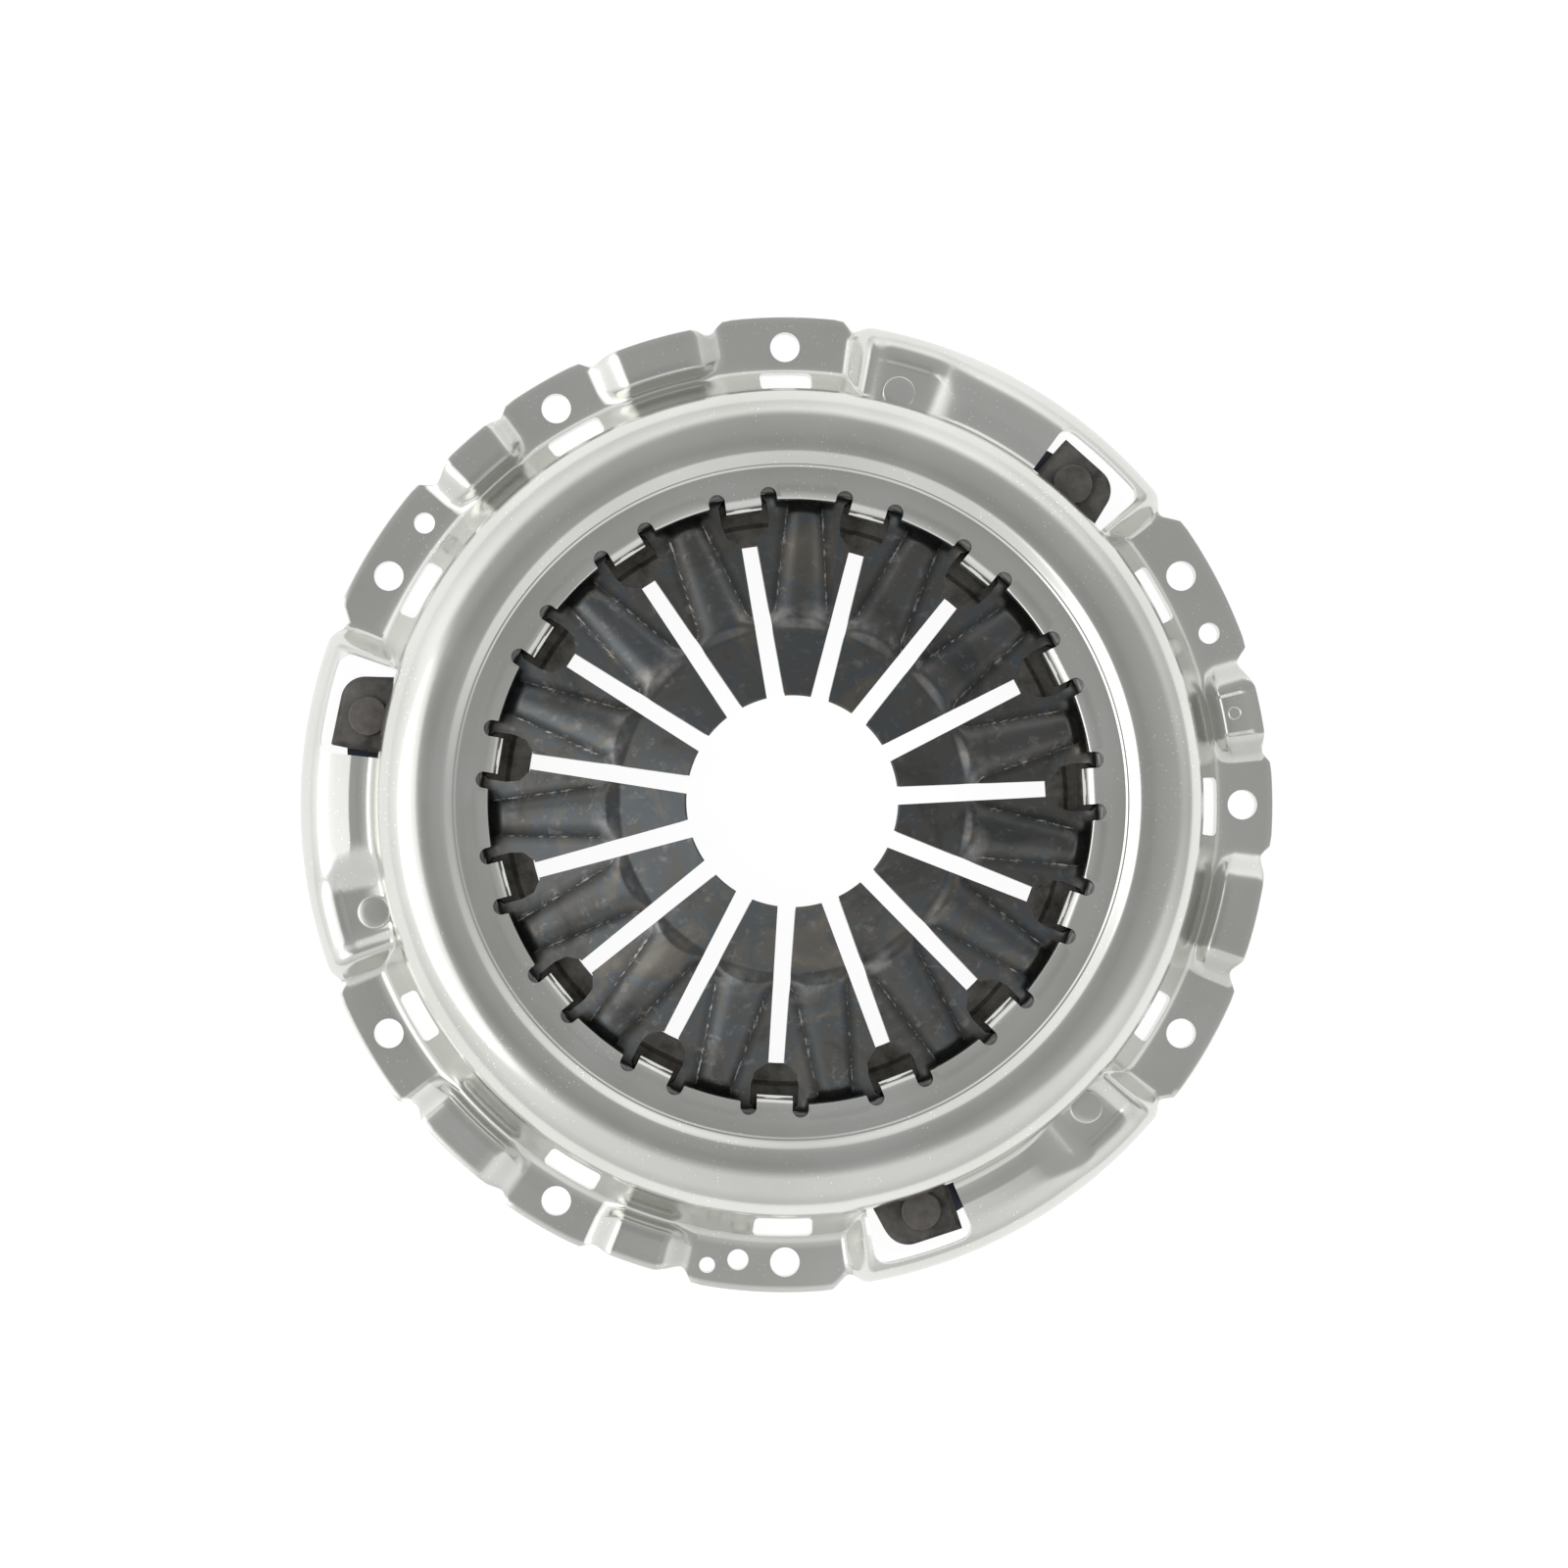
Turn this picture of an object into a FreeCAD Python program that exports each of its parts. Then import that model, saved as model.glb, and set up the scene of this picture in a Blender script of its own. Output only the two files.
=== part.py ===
import FreeCAD, Part
import math
import os
import Sketcher
from types import SimpleNamespace

from FreeCAD import Placement, Rotation, Vector

# Diaphragm clutch cover assembly of the tab type, in millimetres and degrees.
# The origin is the centre of the bolt circle on the mounting plane, which is the
# underside of the nine ears. +Z points away from the flywheel to the release bearing.
# The layout repeats three times; angles are counted anticlockwise from +X, seen from +Z.

document = FreeCAD.newDocument("clutch_cover_assembly")
sheet = document.addObject("Spreadsheet::Sheet", "sizes")

driving = {
    # cover pressing
    "cover_sheet": 4,
    "bolt_circle": 263,
    "bolt_hole": 8.5,
    "dowel_hole": 6.06,
    "gauge_hole": 4.6,
    "gauge_radius": 134.2,
    "ear_radius": 140.3,
    "notch_radius": 136.4,
    "side_notch_radius": 137.5,
    "bridge_radius": 138.4,
    "bridge_top": 9.2,
    "boss_inner": 126.2,
    "boss_outer": 134.8,
    "boss_rise": 0.9,
    "boss_corner": 0.8,
    "housing_radius": 139.4,
    "housing_top": 14,
    "housing_foot": 2,
    "housing_round": 5.4,
    "pad_top": 10.2,
    "skirt_foot": 124.5,
    "skirt_rise": 10.5,
    "dome_wall": 116.5,
    "dome_join": 16.5,
    "dome_top": 34.4,
    "dome_round": 14,
    "crest_radius": 97.5,
    "crease_radius": 93.3,
    "ring_top": 32,
    "land_radius": 84.1,
    "slot_inner": 118,
    "slot_outer": 124,
    "slot_corner": 1.5,
    "window_inner": 103.2,
    "window_outer": 134.3,
    "window_top": 21.5,
    # places round the flange, as angles from the middle ear of each third
    "ear_angle": 30,
    "dowel_angle": 22,
    "last_dowel_angle": 264.1,
    "gauge_angle": 260.4,
    "boss_start": 8.9,
    "boss_end": 13.85,
    "window_start": 41,
    "window_end": 53.65,
    "slot_1_start": -33.5,
    "slot_1_end": -26.5,
    "slot_2_start": -4.2,
    "slot_2_end": 3.6,
    "slot_3_start": 25.6,
    "slot_3_end": 33.6,
    # tabs that hold the diaphragm
    "tab_count": 15,
    "tab_angle": 3,
    "tab_width": 10,
    "tab_sheet": 3.2,
    "tab_radius": 81.8,
    "tab_hook": 90.5,
    "relief_radius": 85.5,
    "relief_hole": 4.6,
    "relief_angle": 4.85,
    # fulcrum rings and diaphragm spring
    "fulcrum_radius": 88,
    "ring_wire": 3.2,
    "seat_gap": 0.05,
    "spring_sheet": 2.5,
    "spring_slope": 14.3,
    "spring_radius": 108,
    "tip_radius": 29.15,
    "tip_chamfer": 0.5,
    "slot_width": 4.4,
    "slot_tip_width": 5,
    "throat_radius": 73.1,
    "throat_shoulder": 75.8,
    "throat_waist": 79.5,
    "throat_end": 86.8,
    "throat_nose_width": 5.4,
    "throat_shoulder_width": 11.6,
    "throat_width": 13.4,
    "throat_corner": 2,
    "rib_root": 83,
    "rib_end": 50,
    "rib_root_width": 9,
    "rib_end_width": 14.6,
    "rib_height": 1.5,
    "rib_shoulder": 0.8,
    "rib_crown": 0.55,
    # pressure plate
    "face_height": 2,
    "bore_radius": 73.85,
    "bore_flare": 1.8,
    "plate_radius": 117,
    "rim_height": 1,
    "rim_taper": 3.4,
    "body_radius": 111.6,
    "plate_top": 11.3,
    "inner_rim": 79,
    "channel_depth": 1.5,
    "ridge_radius": 105.5,
    "ridge_width": 2.4,
    "ridge_foot": 8,
    "ridge_gap": 0.25,
    "vent_count": 12,
    "vent_width": 9,
    "lug_top": 13.4,
    "lug_under": 4.8,
    "lug_radius": 130.4,
    "lug_back": 10,
    "lug_flare": 3.8,
    "lug_front": 9.8,
    "lug_round": 7,
    "lug_chamfer": 1.5,
    "strap_relief": 110.5,
    "relief_end": 22.5,
    # drive straps and their rivets
    "strap_circle": 243,
    "plate_rivet_angle": 48.2,
    "cover_rivet_angle": 74.7,
    "strap_width": 14,
    "strap_clearance": 2,
    "strap_leaf": 0.7,
    "strap_leaves": 3,
    "strap_overhang": 7.2,
    "strap_bend": 14,
    "rivet_shank": 6.2,
    "rivet_clearance": 0.2,
    "cover_head": 9.5,
    "cover_head_height": 1.3,
    "plate_head": 11.3,
    "plate_head_height": 1.9,
    "closing_head": 10,
    "closing_head_height": 1.7,
}


# A size as a number together with the expression that binds it to the sheet.
class Size:
    def __init__(self, value, text):
        self.value = value
        self.text = text

    def combine(self, other, sign, value):
        return Size(value, f"({self.text} {sign} {other.text})")

    def __add__(self, other):
        other = as_size(other)
        return self.combine(other, "+", self.value + other.value)

    def __sub__(self, other):
        other = as_size(other)
        return self.combine(other, "-", self.value - other.value)

    def __mul__(self, other):
        other = as_size(other)
        return self.combine(other, "*", self.value * other.value)

    def __truediv__(self, other):
        other = as_size(other)
        return self.combine(other, "/", self.value / other.value)

    def __neg__(self):
        return self * -1

    __radd__ = __add__
    __rmul__ = __mul__


def as_size(thing):
    return thing if isinstance(thing, Size) else Size(float(thing), repr(float(thing)))


def cosine(angle):
    return Size(math.cos(math.radians(angle.value)), f"cos({angle.text} * 1 deg)")


def sine(angle):
    return Size(math.sin(math.radians(angle.value)), f"sin({angle.text} * 1 deg)")


def tangent(angle):
    return Size(math.tan(math.radians(angle.value)), f"tan({angle.text} * 1 deg)")


for row, (alias, value) in enumerate(driving.items(), 1):
    sheet.set(f"A{row}", alias.replace("_", " "))
    sheet.set(f"B{row}", str(value))
    sheet.setAlias(f"B{row}", alias)
document.recompute()
size = SimpleNamespace(**{alias: Size(float(sheet.get(alias)), f"sizes.{alias}") for alias in driving})

# Sizes that follow from the driving ones.
bolt_radius = size.bolt_circle / 2
strap_radius = size.strap_circle / 2
ring_under = size.ring_top - size.cover_sheet
upper_ring_height = ring_under - size.ring_wire / 2 - size.seat_gap
ring_offset = (size.ring_wire + size.spring_sheet) / 2 / cosine(size.spring_slope) + size.seat_gap
fulcrum_height = upper_ring_height - ring_offset
lower_ring_height = fulcrum_height - ring_offset
hook_top = lower_ring_height - size.ring_wire / 2 - size.seat_gap
spring_half = size.spring_sheet / 2 / cosine(size.spring_slope)
half_span = (size.cover_rivet_angle - size.plate_rivet_angle) / 2
strap_middle = (size.cover_rivet_angle + size.plate_rivet_angle) / 2
strap_reach = strap_radius * sine(half_span)
strap_offset = strap_radius * cosine(half_span)
pad_under = size.pad_top - size.cover_sheet
pack_depth = size.strap_leaf * size.strap_leaves
groups = (0, 120, 240)


# Sketching and feature helpers.
def turned(angle):
    return Placement(Vector(), Rotation(Vector(0, 0, 1), angle))


def new_body(name, turn=None):
    body = document.addObject("PartDesign::Body", name)
    body.Label = name
    if turn is not None:
        turn = as_size(turn)
        body.Placement = turned(turn.value)
        body.setExpression("Placement.Rotation.Angle", turn.text)
    return body


def new_sketch(body, name, role, lift=None, turn=None):
    sketch = body.newObject("Sketcher::SketchObject", name)
    support = next(item for item in body.Origin.OriginFeatures if item.Role == role)
    sketch.AttachmentSupport = [(support, "")]
    sketch.MapMode = "FlatFace"
    if turn is not None:
        sketch.AttachmentOffset = turned(turn.value)
        sketch.setExpression("AttachmentOffset.Rotation.Angle", turn.text)
    if lift is not None:
        sketch.setExpression("AttachmentOffset.Base.z", lift.text)
    return sketch


def pin(sketch, shape, point, corner):
    for kind, distance in zip(("DistanceX", "DistanceY"), corner):
        distance = as_size(distance)
        index = sketch.addConstraint(Sketcher.Constraint(kind, -1, 1, shape, point, distance.value))
        sketch.setExpression(f"Constraints[{index}]", distance.text)


def set_radius(sketch, shape, radius):
    index = sketch.addConstraint(Sketcher.Constraint("Radius", shape, radius.value))
    sketch.setExpression(f"Constraints[{index}]", radius.text)


def polygon(sketch, corners):
    points = [Vector(as_size(x).value, as_size(y).value, 0) for x, y in corners]
    first = sketch.GeometryCount
    for start, end in zip(points, points[1:] + points[:1]):
        sketch.addGeometry(Part.LineSegment(start, end))
    for index, corner in enumerate(corners):
        following = first + (index + 1) % len(points)
        sketch.addConstraint(Sketcher.Constraint("Coincident", first + index, 2, following, 1))
        pin(sketch, first + index, 1, corner)
    return sketch


def circles(sketch, centres, radius):
    for x, y in centres:
        centre = Vector(as_size(x).value, as_size(y).value, 0)
        index = sketch.addGeometry(Part.Circle(centre, Vector(0, 0, 1), radius.value))
        pin(sketch, index, 3, (x, y))
        set_radius(sketch, index, radius)
    return sketch


def revolve(body, name, sketch):
    feature = body.newObject("PartDesign::Revolution", name)
    feature.Profile = sketch
    axis = next(item for item in body.Origin.OriginFeatures if item.Role == "Z_Axis")
    feature.ReferenceAxis = (axis, [""])
    feature.Angle = 360
    return feature


def extrude(body, kind, name, sketch, length, symmetric=False, back=False):
    feature = body.newObject(f"PartDesign::{kind}", name)
    feature.Profile = sketch
    feature.setExpression("Length", as_size(length).text)
    feature.SideType = "Symmetric" if symmetric else "One side"
    feature.Reversed = back
    return feature


def loft(body, kind, name, sketches):
    feature = body.newObject(f"PartDesign::{kind}", name)
    feature.Profile = sketches[0]
    feature.Sections = sketches[1:]
    feature.Ruled = True
    return feature


def repeat(body, name, features, count):
    pattern = body.newObject("PartDesign::PolarPattern", name)
    pattern.Originals = features
    axis = next(item for item in body.Origin.OriginFeatures if item.Role == "Z_Axis")
    pattern.Axis = (axis, [""])
    pattern.Angle = 360
    pattern.setExpression("Occurrences", as_size(count).text)
    body.Tip = pattern
    return pattern


# Rounds the edges of the body so far that the test picks.
def round_edges(body, name, radius, test, kind="Fillet"):
    document.recompute()
    base = body.Tip
    names = [f"Edge{i}" for i, edge in enumerate(base.Shape.Edges, 1) if test(edge)]
    feature = body.newObject(f"PartDesign::{kind}", name)
    feature.Base = (base, names)
    feature.setExpression("Size" if kind == "Chamfer" else "Radius", radius.text)
    body.Tip = feature
    return feature


def rim_at(radius, height):
    def test(edge):
        circle = edge.Curve
        if not isinstance(circle, Part.Circle):
            return False
        return abs(circle.Radius - radius.value) < 0.01 and abs(circle.Center.z - height.value) < 0.01
    return test


# Cover dish: the dome and the flat ring inside it, with the tabs bent down from the ring.
def make_dish():
    body = new_body("cover_dish", size.tab_angle)
    inner_wall = size.dome_wall - size.cover_sheet
    dome_under = size.dome_top - size.cover_sheet
    section = polygon(new_sketch(body, "dish_section", "XZ_Plane"), [
        (size.dome_wall, size.dome_join),
        (size.dome_wall, size.dome_top),
        (size.crest_radius, size.dome_top),
        (size.crease_radius, size.ring_top),
        (size.land_radius, size.ring_top),
        (size.land_radius, ring_under),
        (size.crease_radius + size.cover_sheet * 0.15, ring_under),
        (size.crest_radius + size.cover_sheet * 0.15, dome_under),
        (inner_wall, dome_under),
        (inner_wall, size.dome_join),
    ])
    revolve(body, "dish_pressing", section)
    round_edges(body, "dome_shoulder", size.dome_round, rim_at(size.dome_wall, size.dome_top))
    inner_round = size.dome_round - size.cover_sheet
    round_edges(body, "dome_inner_shoulder", inner_round, rim_at(inner_wall, dome_under))
    round_edges(body, "dome_crease", size.cover_sheet, rim_at(size.crease_radius, size.ring_top))
    round_edges(body, "dome_crest", size.cover_sheet, rim_at(size.crest_radius, size.dome_top))
    round_edges(body, "land_edge", size.cover_sheet * 0.4, rim_at(size.land_radius, size.ring_top))

    above = size.dome_top + 1
    half_notch = size.relief_radius * sine(size.relief_angle)
    reach = size.relief_radius * cosine(size.relief_angle)
    inside = size.land_radius - size.cover_sheet
    clear = half_notch + size.relief_hole / 2
    gap = polygon(new_sketch(body, "gap_outline", "XY_Plane", above), [
        (inside, -clear), (reach, -clear), (reach, clear), (inside, clear),
    ])
    relief = circles(new_sketch(body, "relief_outline", "XY_Plane", above),
                     [(reach, half_notch), (reach, -half_notch)], size.relief_hole / 2)
    depth = size.cover_sheet * 3
    cuts = [extrude(body, "Pocket", "tab_gap", gap, depth)]
    cuts.append(extrude(body, "Pocket", "tab_relief", relief, depth))
    repeat(body, "tab_gaps", cuts, size.tab_count)

    back = size.tab_radius + size.tab_sheet
    hook_under = hook_top - size.tab_sheet
    bend = size.tab_sheet / 2
    tab = polygon(new_sketch(body, "tab_section", "XZ_Plane"), [
        (size.fulcrum_radius, size.ring_top),
        (size.relief_radius + bend, size.ring_top),
        (size.tab_radius + bend, size.ring_top - bend),
        (size.tab_radius, ring_under - bend),
        (size.tab_radius, hook_under + bend),
        (size.tab_radius + bend, hook_under),
        (size.tab_hook, hook_under),
        (size.tab_hook, hook_top),
        (back, hook_top),
        (back, ring_under - bend),
        (back + bend, ring_under),
        (size.fulcrum_radius, ring_under),
    ])
    blade = extrude(body, "Pad", "tab", tab, size.tab_width, symmetric=True)
    repeat(body, "tabs", [blade], size.tab_count)
    return body


# Cover flange: one closed section of the sheet is swung round the axis wherever the flange keeps
# its height, and ruled from one section to the next on the ramps between those heights. All
# sections have the same number of corners, so some of them lie on straight stretches.
def flange_section(height, housing, lean):
    steel = size.cover_sheet.value
    foot = size.skirt_foot.value
    wall = size.dome_wall.value
    join = size.dome_join.value
    inner_wall = wall - steel
    lower = height - steel
    if housing:
        rim = size.housing_radius.value
        edge = size.housing_foot.value
        arc = size.housing_round.value
        inner = max(arc - steel, 0.3 * steel)
        bulge = 1 - math.sqrt(0.5)
        inside = rim - steel
        top = [(wall, join), (wall + lean, height), (foot, height), (foot + steel, height),
               (rim - arc, height), (rim - arc * bulge, height - arc * bulge), (rim, height - arc),
               (rim, edge)]
        under = [(inside, edge), (inside, lower - inner),
                 (inside - inner * bulge, lower - inner * bulge), (inside - inner, lower),
                 (foot + 0.75 * steel, lower), (foot, lower), (inner_wall, lower), (inner_wall, join)]
    else:
        skirt_top = steel + size.skirt_rise.value
        slope = (foot - wall) / size.skirt_rise.value
        under_foot = foot + steel * slope - steel * math.hypot(1, slope)
        under_top = (under_foot - inner_wall) / slope
        rise = height - steel
        trim = size.ear_radius.value + 0.5 * steel
        toe = foot + 0.375 * steel + 0.12 * rise
        top = [(wall, join), (wall + 0.125 * steel, skirt_top), (foot, steel + 0.1 * rise),
               (toe, height), (foot + 2 * steel, height), (trim - steel, height),
               (trim - 0.5 * steel, height), (trim, height)]
        under = [(trim, lower), (trim - 0.5 * steel, lower), (trim - steel, lower),
                 (foot + 1.25 * steel, lower), (foot + 0.65 * steel, 0.1 * lower),
                 (under_foot, 0.1 * lower), (inner_wall, under_top), (inner_wall, join)]
    points = [Vector(x, 0, z) for x, z in top + under]
    return Part.makePolygon(points + points[:1])


# Heights round one third of the flange, as degrees from the middle ear.
def flange_stations():
    ear = (size.cover_sheet.value, False, 0)
    bridge = (size.bridge_top.value, False, 0)
    housing = (size.housing_top.value, True, size.cover_sheet.value / 2)
    rivet_pad = (size.pad_top.value, True, 0.05)
    return [
        (-37.4, ear), (-22.5, ear), (-18.5, bridge), (-9.8, bridge), (-5.2, ear), (5.2, ear),
        (8.7, bridge), (14.4, bridge), (18.75, ear), (37.3, ear), (41.0, housing), (65.2, housing),
        (69.6, rivet_pad), (79.0, rivet_pad), (82.6, ear),
    ]


# Trimmed outline of one third, as spans of constant radius joined by straight corners: ears,
# bridges and housings with a small notch beside each ear.
def trimmed_outline():
    ear = size.ear_radius.value
    notch = size.notch_radius.value
    side_notch = size.side_notch_radius.value
    bridge = size.bridge_radius.value
    housing = size.housing_radius.value + size.cover_sheet.value / 4
    spans = [
        (ear, -36.9, -22.6), (notch, -20.9, -20.3), (bridge, -18.9, -8.2), (side_notch, -6.6, -6.0),
        (ear, -4.9, 5.0), (side_notch, 6.3, 6.8), (bridge, 8.6, 14.2), (notch, 17.0, 17.6),
        (ear, 18.9, 35.6), (notch, 37.3, 38.1), (housing, 39.9, 79.2), (notch, 81.2, 81.8),
    ]
    edges = []
    ends = []
    for group in groups:
        for radius, start, end in spans:
            points = []
            for angle in (start, (start + end) / 2, end):
                turn = math.radians(group + angle)
                points.append(Vector(radius * math.cos(turn), radius * math.sin(turn), 0))
            edges.append(Part.Arc(*points).toShape())
            ends.append((points[0], points[2]))
    for index, (start, end) in enumerate(ends):
        edges.append(Part.makeLine(end, ends[(index + 1) % len(ends)][0]))
    return Part.Wire(Part.__sortEdges__(edges))


def make_flange():
    stations = flange_stations()
    axis = Vector(0, 0, 1)
    pieces = []
    for (start, before), (end, after) in zip(stations, stations[1:]):
        first = flange_section(*before)
        first.rotate(Vector(), axis, start)
        if before == after:
            pieces.append(Part.Face(first).revolve(Vector(), axis, end - start))
        else:
            last = flange_section(*after)
            last.rotate(Vector(), axis, end)
            pieces.append(Part.makeLoft([first, last], True, True))
    ring = []
    for group in groups:
        for piece in pieces:
            copy = piece.copy()
            copy.rotate(Vector(), axis, group)
            ring.append(copy)
    flange = ring[0].multiFuse(ring[1:])
    deep = size.dome_top.value
    trim = Part.Face(trimmed_outline()).extrude(Vector(0, 0, 2 * deep))
    trim.translate(Vector(0, 0, -deep))
    feature = document.addObject("Part::Feature", "cover_flange")
    feature.Shape = flange.common(trim).removeSplitter()
    return feature


# A prism over part of a ring with rounded corners, between two heights.
def ring_prism(name, radii, angles, heights, corner):
    inner, outer = (radius.value for radius in radii)
    start, end = angles
    bottom, top = (height.value for height in heights)

    def at(radius, angle):
        turn = math.radians(angle)
        return Vector(radius * math.cos(turn), radius * math.sin(turn), bottom)
    middle = (start + end) / 2
    edges = [
        Part.Arc(at(inner, start), at(inner, middle), at(inner, end)).toShape(),
        Part.makeLine(at(inner, end), at(outer, end)),
        Part.Arc(at(outer, end), at(outer, middle), at(outer, start)).toShape(),
        Part.makeLine(at(outer, start), at(inner, start)),
    ]
    prism = Part.Face(Part.Wire(edges)).extrude(Vector(0, 0, top - bottom))
    upright = [edge for edge in prism.Edges if edge.Vertexes[0].Point.z != edge.Vertexes[1].Point.z]
    feature = document.addObject("Part::Feature", name)
    feature.Shape = prism.makeFillet(corner.value, upright)
    return feature


# A punch for a round hole at a radius and an angle.
def round_punch(name, diameter, radius, angle):
    punch = document.addObject("Part::Cylinder", name)
    punch.setExpression("Radius", (diameter / 2).text)
    punch.setExpression("Height", (size.dome_top * 2).text)
    angle = as_size(angle)
    place = (radius * cosine(angle), radius * sine(angle), -size.dome_top)
    for letter, distance in zip("xyz", place):
        punch.setExpression(f"Placement.Base.{letter}", distance.text)
    return punch


def make_cover():
    below = -size.cover_sheet
    slot_ends = (
        (size.slot_1_start, size.slot_1_end), (size.slot_2_start, size.slot_2_end),
        (size.slot_3_start, size.slot_3_end),
    )
    dowels = (size.dowel_angle, size.dowel_angle + groups[1], size.last_dowel_angle)
    bosses = []
    punches = []
    for group, dowel in zip(groups, dowels):
        bosses.append(ring_prism(
            f"boss_{group}", (size.boss_inner, size.boss_outer),
            (group + size.boss_start.value, group + size.boss_end.value),
            (size.bridge_top - size.cover_sheet / 2, size.bridge_top + size.boss_rise), size.boss_corner))
        for order, (start, end) in enumerate(slot_ends):
            ear = size.ear_angle * (order - 1) + group
            punches.append(round_punch(f"bolt_punch_{group}_{order}", size.bolt_hole, bolt_radius, ear))
            punches.append(ring_prism(
                f"slot_punch_{group}_{order}", (size.slot_inner, size.slot_outer),
                (group + start.value, group + end.value), (below, size.dome_join), size.slot_corner))
        punches.append(round_punch(f"dowel_punch_{group}", size.dowel_hole, bolt_radius, dowel))
        punches.append(ring_prism(
            f"window_punch_{group}", (size.window_inner, size.window_outer),
            (group + size.window_start.value, group + size.window_end.value),
            (below, size.window_top), size.cover_sheet))
        rivet = size.cover_rivet_angle + group
        rivet_hole = size.rivet_shank + size.rivet_clearance
        punches.append(round_punch(f"rivet_punch_{group}", rivet_hole, strap_radius, rivet))
    punches.append(round_punch("gauge_punch", size.gauge_hole, size.gauge_radius, size.gauge_angle))
    blank = document.addObject("Part::MultiFuse", "cover_blank")
    blank.Shapes = [make_dish(), make_flange(), *bosses]
    tools = document.addObject("Part::MultiFuse", "cover_punches")
    tools.Shapes = punches
    cover = document.addObject("Part::Cut", "cover")
    cover.Base = blank
    cover.Tool = tools
    cover.Refine = True
    return cover


# Diaphragm spring: a coned disc, slotted into fingers, each with a pressed stiffening channel.
def spring_top(radius):
    return fulcrum_height + (size.fulcrum_radius - radius) * tangent(size.spring_slope) + spring_half


def channel_sections(body, name, shift, narrow):
    foot = size.rib_height * 0.5
    stations = (
        (size.rib_root, size.rib_root_width, size.rib_height * 0.1),
        (size.rib_root - size.rib_height * 2, size.rib_root_width, size.rib_height),
        (size.rib_end + size.rib_height * 3, size.rib_end_width, size.rib_height),
        (size.rib_end, size.rib_end_width, size.rib_height * 0.1),
    )
    sketches = []
    for order, (radius, width, height) in enumerate(stations):
        half = width / 2 - narrow
        shoulder = half - size.rib_height
        crown = shoulder * size.rib_crown
        surface = spring_top(radius) - shift
        sketch = new_sketch(body, f"{name}_section_{order}", "YZ_Plane", radius)
        side = surface + height * size.rib_shoulder
        polygon(sketch, [
            (-half, surface - foot), (half, surface - foot), (shoulder, side),
            (crown, surface + height), (-crown, surface + height), (-shoulder, side),
        ])
        sketches.append(sketch)
    return sketches


def make_spring():
    half_pitch = as_size(180) / size.tab_count
    body = new_body("diaphragm_spring", size.tab_angle + half_pitch)
    thick = spring_half * 2
    edge, tip = size.spring_radius, size.tip_radius
    section = polygon(new_sketch(body, "spring_section", "XZ_Plane"), [
        (tip, spring_top(tip) - thick), (edge, spring_top(edge) - thick),
        (edge, spring_top(edge)), (tip + size.tip_chamfer, spring_top(tip + size.tip_chamfer)),
        (tip, spring_top(tip) - size.tip_chamfer),
    ])
    revolve(body, "coned_disc", section)
    outer = channel_sections(body, "channel", as_size(0), as_size(0))
    ribs = loft(body, "AdditiveLoft", "finger_channel", outer)
    inner = channel_sections(body, "channel_inside", thick, size.spring_sheet / 4)
    hollows = loft(body, "SubtractiveLoft", "finger_channel_inside", inner)
    repeat(body, "finger_channels", [ribs, hollows], size.tab_count)

    above = spring_top(tip) + 1
    depth = above
    slot = polygon(new_sketch(body, "slot_outline", "XY_Plane", above, half_pitch), [
        (tip - 1, -size.slot_tip_width / 2), (size.throat_radius + 1, -size.slot_width / 2),
        (size.throat_radius + 1, size.slot_width / 2), (tip - 1, size.slot_tip_width / 2),
    ])
    throat_side = [
        (size.throat_radius, size.throat_nose_width / 2),
        (size.throat_shoulder, size.throat_shoulder_width / 2), (size.throat_waist, size.throat_width / 2),
        (size.throat_end - size.throat_corner, size.throat_width / 2),
        (size.throat_end, size.throat_width / 2 - size.throat_corner),
    ]
    other_side = [(radius, -half) for radius, half in reversed(throat_side)]
    throat_sketch = new_sketch(body, "throat_outline", "XY_Plane", above, half_pitch)
    throat = polygon(throat_sketch, throat_side + other_side)
    cuts = [extrude(body, "Pocket", "finger_slot", slot, depth)]
    cuts.append(extrude(body, "Pocket", "finger_throat", throat, depth))
    repeat(body, "finger_slots", cuts, size.tab_count)
    return body


def make_fulcrum_ring(name, height):
    ring = document.addObject("Part::Torus", name)
    ring.setExpression("Radius1", size.fulcrum_radius.text)
    ring.setExpression("Radius2", (size.ring_wire / 2).text)
    ring.setExpression("Placement.Base.z", height.text)
    return ring


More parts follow.
